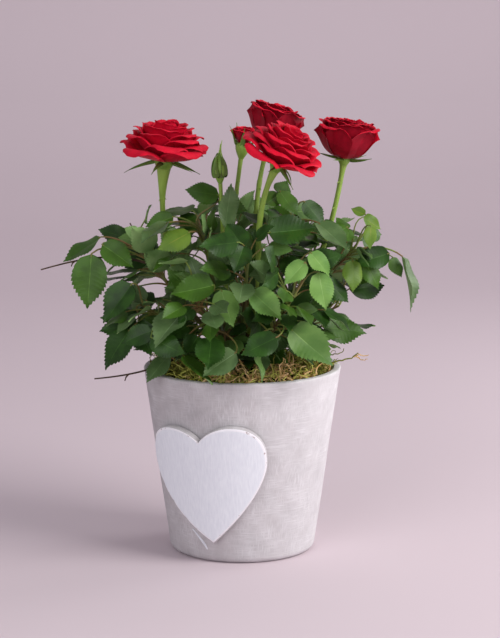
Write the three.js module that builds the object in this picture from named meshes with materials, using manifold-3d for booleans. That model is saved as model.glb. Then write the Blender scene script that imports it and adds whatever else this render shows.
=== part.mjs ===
// Potted garden rose: a bushy patio rose in a tapered cement pot with a heart on its side.
// Millimetres, +Z up. The origin is the middle of the pot's flat underside; -Y is the front.
import * as THREE from 'three';
import { mergeVertices } from 'three/addons/utils/BufferGeometryUtils.js';
import Module from 'manifold-3d';

const kernel = await Module();
kernel.setup();
const { Manifold, Mesh } = kernel;

// Pot and what fills it
const POT_HEIGHT = 141;
const RIM_RADIUS = 75;
const FOOT_RADIUS = 55;
const POT_WALL = 5.5;
const POT_FLOOR = 12;
const FOOT_ROUND = 6;
const RIM_ROUND = 1.2;
const POT_SIDES = 44;
const SEAT_GAP = 0.3;
const SOIL_TOP = 120;
const SOIL_SIDES = 44;
const MOSS_EDGE = 134;
const MOSS_CROWN = 143;
const MOSS_LUMP = 1.3;
const MOSS_HOLE = 9.6;
const MOSS_SIDES = 30;
const MOSS_RINGS = 5;

// Heart plaque bent round the pot; half its outline runs from the cleft over a lobe to the widest
// place, and from there down a flank to the tip
const HEART_WIDTH = 88;
const HEART_LOBE = [[0, 35], [13, 52], [HEART_WIDTH / 2, 50], [HEART_WIDTH / 2, 20]];
const HEART_FLANK = [[HEART_WIDTH / 2, 20], [HEART_WIDTH / 2 + 1, -3], [18, -31], [0, -44.6]];
const HEART_THICK = 6;
const HEART_BEARING = 247.3;
const HEART_MIDDLE = 61.5;
const HEART_TILT = 5;
const HEART_POINTS = 40;
const HEART_BACK_RINGS = 6;
const HEART_FACE_RINGS = 3;
const HEART_SEAT = 0.85;
const HEART_EDGE = 1;
const HEART_FACE_SHARE = 0.975;

// Stock, canes and boughs
const STOCK_TOP = 174;
const STOCK_RADIUS = 8;
const STOCK_SIDES = 14;
const STOCK_ROWS = 7;
const LIMB_GAP = 0.3;
const BOUGH_FOOT = 2.4;
const BOUGH_NECK = 1.9;
const SHOOT_RADIUS = 1.7;
const SHOOT_POINT = 0.8;
const SHOOT_ENTRY = 0.30;
const FILL_FROM = 0.34;
const CANE_SIDES = 6;
const CANE_ROWS = 10;
const BOUGH_ROWS = 4;
const SHOOT_ROWS = 8;
const SHOOT_SIDES = 5;
const CURVE_HANDLE = 0.36;

// Boxes that keep limbs apart while the crown grows
const CANE_BOXES = 12;
const BOUGH_BOXES = 3;
const STEM_BOXES = 6;
const STALK_BOXES = 4;
const STALK_BOX_FROM = 0.06;
const BLOOM_BOX_SHARE = 0.85;
const BLOOM_BOX_LIFT = 2;

// Leaves
const GOLDEN_ANGLE = 137.508;
const FACE_RISE = 30;
const CROWN_TOP = 286;
const CROWN_FALL = 0.36;
const CROWN_RADIUS = 112;

// Gaps that show through the whole crown from the front: middle (x and height), half width and
// half height. The line of sight falls by a sixth on its way back.
const SIGHT_FALL = 0.17;
const SKY_GAPS = [[-68, 204, 13, 9], [-28, 222, 11, 7], [-30, 179, 7, 9], [31, 242, 13, 6],
  [103, 186, 24, 14], [92, 143, 20, 20], [-70, 144, 9, 7], [-80, 167, 7, 9], [82, 184, 13, 5]];
const GAP_PLACES = [0, 0.35, 0.7, 1];
const RIM_CLEAR = 3;
const LOWEST_LEAF = 128;
const LEAFLET_WIDTH = 0.66;
const LEAFLET_THICK = 1.2;
const PAIR_SPACING = 0.50;
const PAIR_ANGLE = 58;
const PAIR_DROOP = 0.15;
const PAIR_CLIMB = 0.2;
const PAIR_SIZES = [0.88, 0.72];
const PAIR_FIRST = [0.34, 0.14];
const PAIR_FOOT = 1.6;
const PAIR_BACK = 0.22;
const PAIR_DIP = 0.10;
const BLADE_BOXES = [[0.5, 0.5, 0.55], [0.46, 0.28, 1]];
const BLADE_WIDEST = 0.45;
const BLADE_NEAR = [0.26, 0.9, 1];
const BLADE_FAR = [0.62, 0.9, 0.75];
const BLADE_ROOM = 0.9;
const STALK_ROOM = 0.8;
const STALK_FOOT = 0.95;
const STALK_TIP = 0.7;
const STEM_ROOM = 1.9;
const ATTEMPTS = 20;
const ONE_PAIR_AFTER = 7;
const NO_PAIR_AFTER = 12;

// Seeded leaves: chance in place and turn along the shoot, how far the stalk opens from it, how
// much it is drawn outward and up, its length, how the end leaflet hangs and rolls, and its length.
const SEEDED = { slide: 0.08, retry: 0.31, swing: 25, open: [45, 75], outward: 0.45, lift: 0.12,
  stalk: [16, 38], spread: 0.3, hang: [0.1, 0.9], faceOut: 0.85, faceUp: 0.6, roll: 30,
  long: [22, 31], longer: 6, twoPairs: 0.6 };

// Canes run whole from the stock to a bloom or bud: bearing and height on the stock,
// the climb they start with, where they end, and how they lean there (bearing, off upright).
const CANES = {
  left_bloom: { bearing: 172, height: 168, climb: 22, tip: [-58.5, -10, 292],
    lean: [350, 6], foot: 2.3, neck: 1.9 },
  front_bloom: { bearing: 300, height: 168, climb: 50, tip: [23.5, -40, 293],
    lean: [345, 28], foot: 2.4, neck: 1.9 },
  back_bloom: { bearing: 68, height: 168, climb: 60, tip: [19, 34, 303],
    lean: [8, 17], foot: 2.2, neck: 1.7 },
  right_bloom: { bearing: 8, height: 168, climb: 25, tip: [76, 5, 293],
    lean: [352, 9], foot: 2.3, neck: 1.8 },
  closed_bud: { bearing: 240, height: 168, climb: 60, tip: [-16, -30, 283],
    lean: [200, 4], foot: 1.9, neck: 1.4 },
  opening_bud: { bearing: 118, height: 168, climb: 70, tip: [-1, 10, 297],
    lean: [10, 8], foot: 2.0, neck: 1.6 },
};

// Shoots: a bough from the stock that runs on as the stem of one mass of leaves. Their own leaves
// give the crown its outline: place on the shoot, end of the leaf's stalk, heading (bearing, rise),
// bearing the upper side looks to, size of the end leaflet and number of side pairs.
const SHOOTS = {
  left_upper: { bearing: 186, height: 159, climb: 25, tip: [-80, -12, 232],
    lean: [185, 50], seed: 3, fill: 14, leaves: [
      { at: 0.84, end: [-112, -26, 230], heads: [248, -78], faces: 262, size: 41, pairs: 0 },
      { at: 1.0, end: [-106, -6, 240], heads: [187, -26], faces: 200, size: 34, pairs: 0 },
      { at: 0.95, end: [-104, -16, 237], heads: [336, -27], faces: 262, size: 29, pairs: 0 },
      { at: 0.9, end: [-86, -2, 237], heads: [187, 19], faces: 235, size: 24, pairs: 0 },
    ] },
  left_lower: { bearing: 212, height: 149, climb: 10, tip: [-76, -28, 192],
    lean: [200, 65], seed: 11, fill: 14, leaves: [
      { at: 0.92, end: [-81, -36, 210], heads: [199, -47], faces: 250, size: 36, pairs: 0 },
      { at: 0.75, end: [-83, -42, 176], heads: [207, -50], faces: 245, size: 35, pairs: 1 },
      { at: 1.0, end: [-80, -12, 178], heads: [186, 6], faces: 240, size: 27, pairs: 0 },
    ] },
  front_left: { bearing: 252, height: 149, climb: 8, tip: [-34, -62, 200],
    lean: [245, 55], seed: 23, fill: 17, leaves: [
      { at: 0.95, end: [-20, -68, 213], heads: [195, -7], faces: 262, size: 32, pairs: 0 },
      { at: 0.85, end: [-15, -74, 209], heads: [302, -58], faces: 275, size: 29, pairs: 0 },
      { at: 0.4, end: [-4, -82, 166], heads: [207, -25], faces: 265, size: 30, pairs: 0 },
      { at: 0.55, end: [-43, -76, 163], heads: [332, -32], faces: 333, size: 32, pairs: 0 },
      { at: 0.78, end: [-66, -66, 176], heads: [337, -23], faces: 240, size: 28, pairs: 1 },
    ] },
  front_right: { bearing: 290, height: 149, climb: 8, tip: [38, -62, 204],
    lean: [290, 55], seed: 31, fill: 16, leaves: [
      { at: 0.62, end: [35, -74, 182], heads: [343, -34], faces: 275, size: 41, pairs: 0 },
      { at: 0.95, end: [56, -58, 221], heads: [302, -69], faces: 285, size: 28, pairs: 0 },
      { at: 0.9, end: [46, -62, 229], heads: [212, -38], faces: 275, size: 23, pairs: 0 },
      { at: 0.85, end: [50, -54, 235], heads: [322, -36], faces: 290, size: 23, pairs: 0 },
      { at: 0.35, end: [9, -82, 168], heads: [315, -57], faces: 350, size: 25, pairs: 0 },
      { at: 0.5, end: [26, -70, 178], heads: [196, -22], faces: 262, size: 30, pairs: 0 },
      { at: 0.8, end: [7, -72, 209], heads: [336, -35], faces: 275, size: 30, pairs: 0 },
    ] },
  front_top: { bearing: 270, height: 159, climb: 38, tip: [4, -50, 232],
    lean: [270, 30], seed: 37, fill: 13, leaves: [
      { at: 0.9, end: [-2, -50, 244], heads: [196, -2], faces: 250, size: 30, pairs: 1 },
    ] },
  right_lower: { bearing: 330, height: 149, climb: 10, tip: [72, -22, 190],
    lean: [350, 65], seed: 41, fill: 15, leaves: [
      { at: 0.85, end: [60, -28, 176], heads: [7, -6], faces: 300, size: 34, pairs: 0 },
      { at: 0.75, end: [62, -34, 212], heads: [346, -43], faces: 290, size: 24, pairs: 0 },
    ] },
  right_upper: { bearing: 354, height: 159, climb: 25, tip: [84, -8, 230],
    lean: [355, 50], seed: 53, fill: 14, leaves: [
      { at: 1.0, end: [120, -10, 226], heads: [332, -67], faces: 350, size: 42, pairs: 0 },
      { at: 0.97, end: [113, -12, 225], heads: [330, -62], faces: 290, size: 17, pairs: 0 },
      { at: 0.9, end: [110, -6, 229], heads: [200, -12], faces: 275, size: 28, pairs: 0 },
      { at: 0.92, end: [91, -4, 255], heads: [9, -33], faces: 290, size: 17, pairs: 0 },
      { at: 0.88, end: [93, -2, 256], heads: [168, 22], faces: 280, size: 12, pairs: 0 },
      { at: 0.96, end: [96, -8, 250], heads: [276, -78], faces: 300, size: 18, pairs: 0 },
      { at: 0.8, end: [82, -30, 226], heads: [279, -68], faces: 290, size: 24, pairs: 0 },
      { at: 0.85, end: [92, -20, 222], heads: [350, -56], faces: 280, size: 22, pairs: 0 },
      { at: 0.62, end: [78, -24, 250], heads: [217, -20], faces: 270, size: 17, pairs: 1 },
    ] },
  top_left: { bearing: 234, height: 159, climb: 45, tip: [-34, -18, 254],
    lean: [215, 25], seed: 61, fill: 14, leaves: [
      { at: 1.0, end: [-17, -24, 273], heads: [194, 12], faces: 250, size: 26, pairs: 1 },
      { at: 0.8, end: [-12, -38, 255], heads: [38, 79], faces: 330, size: 34, pairs: 0 },
      { at: 0.7, end: [-38, -46, 249], heads: [203, -24], faces: 262, size: 27, pairs: 0 },
      { at: 0.9, end: [-51, -20, 257], heads: [190, -16], faces: 265, size: 22, pairs: 0 },
    ] },
  top_right: { bearing: 310, height: 159, climb: 45, tip: [38, -12, 251.5],
    lean: [330, 25], seed: 71, fill: 14, leaves: [
      { at: 1.0, end: [28, -16, 276], heads: [324, -45], faces: 300, size: 24, pairs: 1 },
      { at: 0.8, end: [19, -50, 249], heads: [4, 8], faces: 285, size: 36, pairs: 0 },
      { at: 0.95, end: [46, -14, 268], heads: [340, -44], faces: 295, size: 24, pairs: 0 },
    ] },
  back_left: { bearing: 146, height: 159, climb: 20, tip: [-58, 54, 222],
    lean: [135, 55], seed: 83, fill: 15, leaves: [
    ] },
  back_right: { bearing: 40, height: 159, climb: 20, tip: [58, 54, 222],
    lean: [45, 55], seed: 97, fill: 15, leaves: [
    ] },
  back_low: { bearing: 94, height: 149, climb: 8, tip: [4, 80, 190],
    lean: [92, 65], seed: 101, fill: 16, leaves: [
    ] },
  back_top: { bearing: 95, height: 159, climb: 45, tip: [-8, 44, 250],
    lean: [90, 20], seed: 113, fill: 13, leaves: [
    ] },
};

// Blooms: number of petals, length of the innermost and outermost, lean of the outermost at its
// root and at its tip, how far tips roll back, radius and height of the closed heart, and the
// room the leaves leave free (radius, height).
const BLOOMS = {
  left_bloom: { petals: 10, inner: 29, outer: 36, start: 66, open: 70,
    reflex: 22, heart: [10, 29], room: [37, 33] },
  front_bloom: { petals: 10, inner: 29, outer: 38, start: 64, open: 74,
    reflex: 26, heart: [10, 29], room: [34, 33] },
  back_bloom: { petals: 9, inner: 26, outer: 33, start: 62, open: 14,
    reflex: 42, heart: [9, 28], room: [24, 34] },
  right_bloom: { petals: 9, inner: 26, outer: 34, start: 66, open: 16,
    reflex: 46, heart: [9, 28], room: [25, 33] },
};
const PETAL_THICK = 1.3;
const PETAL_BREADTH = 0.94;
const PETAL_ROWS = [[0, 0.3], [0.4, 0.9], [0.78, 1], [1, 0.55]];
const PETAL_TIGHT = 10;
const HIP_TALL = 6;
const HIP_RADIUS = 4.6;
const HIP_SIDES = 10;
const SEPAL_LONG = 21;
const SEPAL_WIDE = 2.6;
const SEPAL_THICK = 1.1;
const SEPALS = 5;
const CLOSED_BUD = { outline: [[1.4, 0], [2.3, 2], [3.1, 4.5], [4.9, 9], [5, 13], [3.4, 19], [1.2, 24]],
  top: 30, sepals: 3, reach: 14, spread: 28, room: [8, 40] };
const OPENING_BUD = { outline: [[1.6, 0], [3.5, 3], [4.2, 5.5], [8, 12], [8.6, 16], [7, 20]], top: 22,
  sepals: 4, reach: 23, spread: 24, petals: 4, inner: 17, outer: 20, start: 34, open: 6, reflex: 30,
  room: [11, 34] };
const BUD_SIDES = 10;

const MATERIALS = {
  pot: { color: '#b9adad', roughness: 0.92 },
  heart: { color: '#e6e0dc', roughness: 0.85 },
  soil: { color: '#3a2b20', roughness: 1 },
  moss: { color: '#5a5228', roughness: 1 },
  stock: { color: '#6b5536', roughness: 0.9 },
  cane: { color: '#7f9c46', roughness: 0.55 },
  leaf: { color: '#3f6a33', roughness: 0.5 },
  petal: { color: '#a50d24', roughness: 0.6 },
  bud: { color: '#6f8f3c', roughness: 0.55 },
};

// Vectors are plain triples, so the growth rule reads the same wherever it is written.
const add = (a, b) => [a[0] + b[0], a[1] + b[1], a[2] + b[2]];
const sub = (a, b) => [a[0] - b[0], a[1] - b[1], a[2] - b[2]];
const times = (a, k) => [a[0] * k, a[1] * k, a[2] * k];
const dot = (a, b) => a[0] * b[0] + a[1] * b[1] + a[2] * b[2];
const cross = (a, b) => [a[1] * b[2] - a[2] * b[1], a[2] * b[0] - a[0] * b[2], a[0] * b[1] - a[1] * b[0]];
const size = (a) => Math.sqrt(dot(a, a));
const unit = (a) => times(a, 1 / size(a));
const flat = (a) => Math.hypot(a[0], a[1]);
const radians = (degrees) => degrees * Math.PI / 180;
const mix = (a, b, share) => a + (b - a) * share;

function toward(bearing, rise) {
  const b = radians(bearing);
  const r = radians(rise);
  return [Math.cos(b) * Math.cos(r), Math.sin(b) * Math.cos(r), Math.sin(r)];
}

// The unit vector nearest to the wanted one that is square to a direction.
function across(direction, wanted) {
  return unit(sub(wanted, times(direction, dot(wanted, direction))));
}

function turnedAbout(v, axis, degrees) {
  const a = radians(degrees);
  const straight = add(times(v, Math.cos(a)), times(cross(axis, v), Math.sin(a)));
  return add(straight, times(axis, dot(axis, v) * (1 - Math.cos(a))));
}

function outward(p) {
  const r = flat(p);
  return r > 1 ? [p[0] / r, p[1] / r, 0] : [0, -1, 0];
}

function seeded(seed) {
  let state = seed;
  return (low, high) => {
    state = (Math.imul(state, 1664525) + 1013904223) >>> 0;
    return low + (high - low) * state / 4294967296;
  };
}

// Limb curves are cubic: they leave and arrive along given directions.
function curve(start, startWay, end, endWay) {
  const span = size(sub(end, start)) * CURVE_HANDLE;
  return [start, add(start, times(startWay, span)), sub(end, times(endWay, span)), end];
}

function point(path, t) {
  const k = 1 - t;
  const near = add(times(path[0], k * k * k), times(path[1], 3 * k * k * t));
  const far = add(times(path[2], 3 * k * t * t), times(path[3], t * t * t));
  return add(near, far);
}

function slope(path, t) {
  const k = 1 - t;
  const near = add(times(sub(path[1], path[0]), k * k), times(sub(path[2], path[1]), 2 * k * t));
  return add(near, times(sub(path[3], path[2]), t * t));
}

const way = (path, t) => unit(slope(path, t));

// A limb leaves the stock square to its own cut end, a hair clear of the bark.
function limbPath(limb) {
  const climb = radians(limb.climb);
  const away = STOCK_RADIUS + LIMB_GAP + (limb.foot ?? BOUGH_FOOT) * Math.sin(climb);
  const start = add(times(toward(limb.bearing, 0), away), [0, 0, limb.height]);
  const [bearing, lean] = limb.lean;
  return curve(start, toward(limb.bearing, limb.climb), limb.tip, toward(bearing, 90 - lean));
}

// Slanted boxes stand for limbs, stalks and leaflets while the crown grows.
function slantedBox(centre, axes, half) {
  return { centre, axes, half, ball: size(half) };
}

function rod(a, b, radius) {
  const along = unit(sub(b, a));
  const side = across(along, Math.abs(along[2]) < 0.9 ? [0.3, 0.2, 1] : [1, 0.3, 0.2]);
  const half = [size(sub(b, a)) / 2, radius, radius];
  return slantedBox(times(add(a, b), 0.5), [along, side, cross(along, side)], half);
}

function rods(path, start, end, steps, radius) {
  const made = [];
  for (let i = 0; i < steps; i += 1) {
    const a = point(path, start + (end - start) * i / steps);
    const b = point(path, start + (end - start) * (i + 1) / steps);
    made.push(rod(a, b, radius));
  }
  return made;
}

function reachAlong(shape, axis) {
  let reach = 0;
  for (let i = 0; i < 3; i += 1) reach += Math.abs(dot(shape.axes[i], axis)) * shape.half[i];
  return reach;
}

// Two slanted boxes touch unless one of fifteen axes parts them.
function touch(a, b) {
  const gap = sub(b.centre, a.centre);
  if (size(gap) > a.ball + b.ball) return false;
  const crossed = a.axes.flatMap((p) => b.axes.map((q) => cross(p, q)));
  for (const axis of [...a.axes, ...b.axes, ...crossed]) {
    if (size(axis) < 1e-4) continue;
    if (Math.abs(dot(gap, axis)) > reachAlong(a, axis) + reachAlong(b, axis)) return false;
  }
  return true;
}

// Leaflets: a narrow box for the length and a wide one for the middle of the blade.
function leaflet(base, along, normal, long) {
  const face = across(along, normal);
  const side = cross(face, along);
  const axes = [along, side, face];
  const wide = long * LEAFLET_WIDTH / 2;
  const boxes = BLADE_BOXES.map(([middle, half, breadth]) => slantedBox(
    add(base, times(along, long * middle)), axes, [long * half, wide * breadth, BLADE_ROOM]));
  return { base, along, side, face, long, boxes };
}

// A leaf: a bent stalk with an end leaflet and side pairs that hang a little.
function leaf(root, rootWay, end, along, normal, long, pairs) {
  const chord = unit(sub(end, root));
  const path = curve(root, unit(add(rootWay, chord)), end, unit(add(along, chord)));
  const reach = size(sub(end, root));
  const blades = [leaflet(end, along, normal, long)];
  const marks = [];
  for (let i = 0; i < pairs; i += 1) {
    const t = Math.max(PAIR_FIRST[i], 1 - long * (PAIR_BACK + PAIR_SPACING * i) / reach);
    const tangent = way(path, t);
    const side = unit(cross(normal, tangent));
    marks.unshift(t);
    for (const sign of [1, -1]) {
      const a = radians(PAIR_ANGLE);
      const spread = add(times(tangent, Math.cos(a)), times(side, sign * Math.sin(a)));
      const hung = add(spread, add(times(normal, -PAIR_DIP), [0, 0, -PAIR_DROOP]));
      const out = unit([hung[0], hung[1], Math.min(hung[2], PAIR_CLIMB)]);
      blades.push(leaflet(point(path, t), out, normal, long * PAIR_SIZES[i]));
    }
  }
  return { path, blades, marks, normal, stalk: rods(path, STALK_BOX_FROM, 1, STALK_BOXES, STALK_ROOM) };
}

// The places of a leaflet that reach furthest: foot, tip and both flanks.
function rimPoints(blade) {
  const wide = blade.long * LEAFLET_WIDTH / 2;
  const middle = add(blade.base, times(blade.along, blade.long * BLADE_WIDEST));
  const tip = add(blade.base, times(blade.along, blade.long));
  return [blade.base, tip, add(middle, times(blade.side, wide)), sub(middle, times(blade.side, wide))];
}

function abovePot(made) {
  return made.blades.every((blade) => rimPoints(blade).every((p) => {
    const lowest = flat(p) < RIM_RADIUS + RIM_CLEAR ? MOSS_CROWN + RIM_CLEAR : LOWEST_LEAF;
    return p[2] >= lowest;
  }));
}

function inSkyGap(p) {
  const height = p[2] + SIGHT_FALL * p[1];
  return SKY_GAPS.some(([x, z, wide, tall]) => Math.hypot((p[0] - x) / wide, (height - z) / tall) < 1);
}

function leavesGapsOpen(made) {
  return made.blades.every((blade) => GAP_PLACES.every((share) => {
    return !inSkyGap(add(blade.base, times(blade.along, blade.long * share)));
  }));
}

function underCrown(made) {
  return made.blades.every((blade) => {
    const p = add(blade.base, times(blade.along, blade.long));
    return p[2] <= CROWN_TOP - CROWN_FALL * flat(p) && flat(p) <= CROWN_RADIUS;
  });
}

function bloomRoom(name) {
  const rooms = { ...BLOOMS, closed_bud: CLOSED_BUD, opening_bud: OPENING_BUD };
  const [radius, tall] = rooms[name].room;
  const { tip, lean } = CANES[name];
  const up = toward(lean[0], 90 - lean[1]);
  const side = across(up, [1, 0.2, 0.1]);
  const half = [tall / 2, radius * BLOOM_BOX_SHARE, radius * BLOOM_BOX_SHARE];
  return slantedBox(add(tip, times(up, tall / 2 + BLOOM_BOX_LIFT)), [up, side, cross(up, side)], half);
}

const NUDGES = [[0, 0, 0], [0, -5, 0], [0, 5, 0], [0, -10, 0], [0, 10, 0], [0, -15, 0], [0, 0, 5], [0, 15, 0],
  [0, 0, -5]];

// The crown: first the leaves that give it its outline, then seeded ones along every shoot.
// A leaf that would touch another limb, leaf or bloom is left out.
function growCrown() {
  const taken = [];
  const canes = {};
  const shoots = {};
  const masses = {};

  const take = (owner, kind, boxes) => boxes.forEach((shape) => taken.push({ owner, kind, shape }));
  const clashes = (name, made) => {
    const blades = made.blades.flatMap((blade) => blade.boxes);
    const all = [...blades, ...made.stalk];
    return taken.some(({ owner, kind, shape }) => {
      const mine = owner === name && kind !== 'blade' ? blades : all;
      return mine.some((box) => touch(box, shape));
    });
  };
  const settle = (name, made) => {
    if (!abovePot(made) || clashes(name, made)) return false;
    take(name, 'blade', made.blades.flatMap((blade) => blade.boxes));
    take(name, 'stalk', made.stalk);
    masses[name].push(made);
    return true;
  };

  for (const [name, cane] of Object.entries(CANES)) {
    canes[name] = limbPath(cane);
    take(name, 'limb', rods(canes[name], 0, 1, CANE_BOXES, cane.foot + LIMB_GAP));
    take(name, 'limb', [bloomRoom(name)]);
  }
  for (const [name, shoot] of Object.entries(SHOOTS)) {
    shoots[name] = limbPath(shoot);
    take(name, 'stem', rods(shoots[name], 0, SHOOT_ENTRY, BOUGH_BOXES, BOUGH_FOOT + LIMB_GAP));
    take(name, 'stem', rods(shoots[name], SHOOT_ENTRY, 1, STEM_BOXES, STEM_ROOM));
    masses[name] = [];
  }
  for (const name of Object.keys(SHOOTS)) {
    for (const row of SHOOTS[name].leaves) settleNamedLeaf(name, shoots[name], row, settle);
  }
  for (const [name, shoot] of Object.entries(SHOOTS)) fillShoot(name, shoots[name], shoot, settle);
  return { canes, shoots, masses };
}

function settleNamedLeaf(name, path, row, settle) {
  const t = SHOOT_ENTRY + (1 - SHOOT_ENTRY) * row.at;
  const root = point(path, t);
  const along = toward(row.heads[0], row.heads[1]);
  const normal = across(along, toward(row.faces, FACE_RISE));
  for (let pairs = row.pairs; pairs >= 0; pairs -= 1) {
    for (const nudge of NUDGES) {
      const made = leaf(root, way(path, t), add(row.end, nudge), along, normal, row.size, pairs);
      if (settle(name, made)) return;
    }
  }
}

function fillShoot(name, path, shoot, settle) {
  const draw = seeded(shoot.seed);
  for (let i = 0; i < shoot.fill; i += 1) {
    for (let attempt = 0; attempt < ATTEMPTS; attempt += 1) {
      const made = drawnLeaf(path, draw, i, attempt, shoot.fill);
      if (underCrown(made) && leavesGapsOpen(made) && settle(name, made)) break;
    }
  }
}

function drawnLeaf(path, draw, i, attempt, fill) {
  const share = (i + 0.7) / fill;
  const s = SEEDED;
  const t = FILL_FROM + (1 - FILL_FROM) * Math.min(1, share + draw(-s.slide, s.slide));
  const root = point(path, t);
  const stem = way(path, t);
  const spinBy = GOLDEN_ANGLE * (i + attempt * s.retry) + draw(-s.swing, s.swing);
  const spin = turnedAbout(across(stem, [0.2, 0.1, 1]), stem, spinBy);
  const open = radians(draw(...s.open));
  const leaving = add(times(stem, Math.cos(open)), times(spin, Math.sin(open)));
  const go = unit(add(leaving, add(times(outward(root), s.outward), [0, 0, s.lift])));
  const end = add(root, times(go, draw(...s.stalk)));
  const along = unit(add(go, add(times(outward(end), s.spread), [0, 0, -draw(...s.hang)])));
  const up = across(along, add(times(outward(end), s.faceOut), [0, 0, s.faceUp]));
  const normal = turnedAbout(up, along, draw(-s.roll, s.roll));
  const long = draw(...s.long) + s.longer * share;
  const wanted = draw(0, 1) < s.twoPairs ? 2 : 1;
  const most = attempt > NO_PAIR_AFTER ? 0 : attempt > ONE_PAIR_AFTER ? 1 : 2;
  return leaf(root, stem, end, along, normal, long, Math.min(wanted, most));
}

// Solids
function solid(points, faces) {
  const mesh = new Mesh({
    numProp: 3,
    vertProperties: Float32Array.from(points.flat()),
    triVerts: Uint32Array.from(faces.flat()),
  });
  return new Manifold(mesh);
}

// Joined pieces as one whole body: sealed hollows are filled and loose scraps dropped.
function wholeBody(pieces) {
  const joined = Manifold.union(pieces).asOriginal().simplify(0.02);
  const bodies = joined.decompose().sort((a, b) => b.volume() - a.volume());
  return bodies[0];
}

// A closed limb along part of a path, square to it at both ends and tapering between them.
function limbTube(path, from, to, rows, foot, neck, sides) {
  const points = [];
  let side = Math.abs(way(path, from)[2]) < 0.9 ? [0, 0, 1] : [1, 0, 0];
  for (let i = 0; i < rows; i += 1) {
    const share = i / (rows - 1);
    const t = mix(from, to, share);
    const along = way(path, t);
    const radius = mix(foot, neck, share);
    side = across(along, side);
    const other = cross(along, side);
    for (let k = 0; k < sides; k += 1) {
      const a = 2 * Math.PI * k / sides;
      const spoke = add(times(side, Math.cos(a) * radius), times(other, Math.sin(a) * radius));
      points.push(add(point(path, t), spoke));
    }
  }
  return solid(points, tubeFaces(rows, sides));
}

function tubeFaces(rows, sides) {
  const faces = [];
  for (let i = 0; i + 1 < rows; i += 1) {
    for (let k = 0; k < sides; k += 1) {
      const a = i * sides + k;
      const b = i * sides + (k + 1) % sides;
      faces.push([a, b, b + sides], [a, b + sides, a + sides]);
    }
  }
  const last = (rows - 1) * sides;
  for (let k = 1; k + 1 < sides; k += 1) {
    faces.push([0, k + 1, k]);
    faces.push([last, last + k, last + k + 1]);
  }
  return faces;
}

// An outline of [radius, height] pairs spun about an upright axis; ends close on the axis.
function spun(outline, sides, lowest, highest) {
  const points = [[0, 0, lowest]];
  outline.forEach(([radius, height]) => {
    for (let k = 0; k < sides; k += 1) {
      const a = 2 * Math.PI * k / sides;
      points.push([radius * Math.cos(a), radius * Math.sin(a), height]);
    }
  });
  points.push([0, 0, highest]);
  const faces = [];
  const last = 1 + (outline.length - 1) * sides;
  for (let k = 0; k < sides; k += 1) {
    const next = (k + 1) % sides;
    faces.push([0, 1 + next, 1 + k]);
    faces.push([points.length - 1, last + k, last + next]);
    for (let i = 0; i + 1 < outline.length; i += 1) {
      const a = 1 + i * sides + k;
      const b = 1 + i * sides + next;
      faces.push([a, b, b + sides], [a, b + sides, a + sides]);
    }
  }
  return { points, faces };
}

// Puts a shape made about the upright axis onto a place, its axis along a direction.
function placed(shape, place, up) {
  const side = across(up, [1, 0.2, 0.1]);
  const other = cross(up, side);
  const move = (p) => add(place, add(add(times(side, p[0]), times(other, p[1])), times(up, p[2])));
  return { points: shape.points.map(move), faces: shape.faces };
}

const solidOf = (shape) => solid(shape.points, shape.faces);

// Pot
function wallRadius(height) {
  return mix(FOOT_RADIUS, RIM_RADIUS, height / POT_HEIGHT);
}

function arc(radius, height, round, from, to, steps) {
  const made = [];
  for (let i = 0; i <= steps; i += 1) {
    const a = radians(mix(from, to, i / steps));
    made.push([radius + round * Math.cos(a), height + round * Math.sin(a)]);
  }
  return made;
}

function potSolid() {
  const foot = arc(wallRadius(FOOT_ROUND) - FOOT_ROUND, FOOT_ROUND, FOOT_ROUND, -90, -8, 4);
  const outerRim = arc(RIM_RADIUS - RIM_ROUND, POT_HEIGHT - RIM_ROUND, RIM_ROUND, -5, 90, 3);
  const innerRim = arc(RIM_RADIUS - POT_WALL + RIM_ROUND, POT_HEIGHT - RIM_ROUND, RIM_ROUND, 90, 175, 3);
  const floor = [[wallRadius(POT_FLOOR) - POT_WALL, POT_FLOOR]];
  return solidOf(spun([...foot, ...outerRim, ...innerRim, ...floor], POT_SIDES, 0, POT_FLOOR));
}

// Potting soil fills the pot up to under the moss.
function soilSolid() {
  const bottom = POT_FLOOR + SEAT_GAP;
  const side = POT_WALL + SEAT_GAP * 1.5;
  const outline = [[wallRadius(bottom) - side, bottom], [wallRadius(SOIL_TOP) - side, SOIL_TOP]];
  return solidOf(spun(outline, SOIL_SIDES, bottom, SOIL_TOP));
}

// Moss: a lumpy ring-shaped cushion on the soil, left open where the stock comes through.
function mossHeight(share, turn) {
  const dome = mix(MOSS_CROWN, MOSS_EDGE, share * share);
  const lumps = Math.sin(5 * turn + 9 * share) + Math.sin(11 * turn - 13 * share + 2) * 0.7;
  return dome + MOSS_LUMP * lumps * (share < 1 ? 1 : 0.3);
}

function mossSolid() {
  const bottom = SOIL_TOP + SEAT_GAP;
  const points = [];
  const faces = [];
  for (let ring = 0; ring <= MOSS_RINGS + 2; ring += 1) {
    for (let k = 0; k < MOSS_SIDES; k += 1) {
      const turn = 2 * Math.PI * k / MOSS_SIDES;
      const share = Math.min(1, Math.max(0, (ring - 1) / MOSS_RINGS));
      const onFloor = ring === 0 || ring === MOSS_RINGS + 2;
      const height = onFloor ? bottom : mossHeight(share, turn);
      const wall = wallRadius(height) - POT_WALL - SEAT_GAP * 1.5;
      const radius = mix(MOSS_HOLE, wall, share);
      points.push([radius * Math.cos(turn), radius * Math.sin(turn), height]);
    }
  }
  const rows = MOSS_RINGS + 3;
  for (let ring = 0; ring < rows; ring += 1) {
    const above = (ring + 1) % rows;
    for (let k = 0; k < MOSS_SIDES; k += 1) {
      const next = (k + 1) % MOSS_SIDES;
      const a = ring * MOSS_SIDES + k;
      const b = ring * MOSS_SIDES + next;
      const c = above * MOSS_SIDES + next;
      const d = above * MOSS_SIDES + k;
      faces.push([a, d, c], [a, c, b]);
    }
  }
  return solid(points, faces);
}

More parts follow.
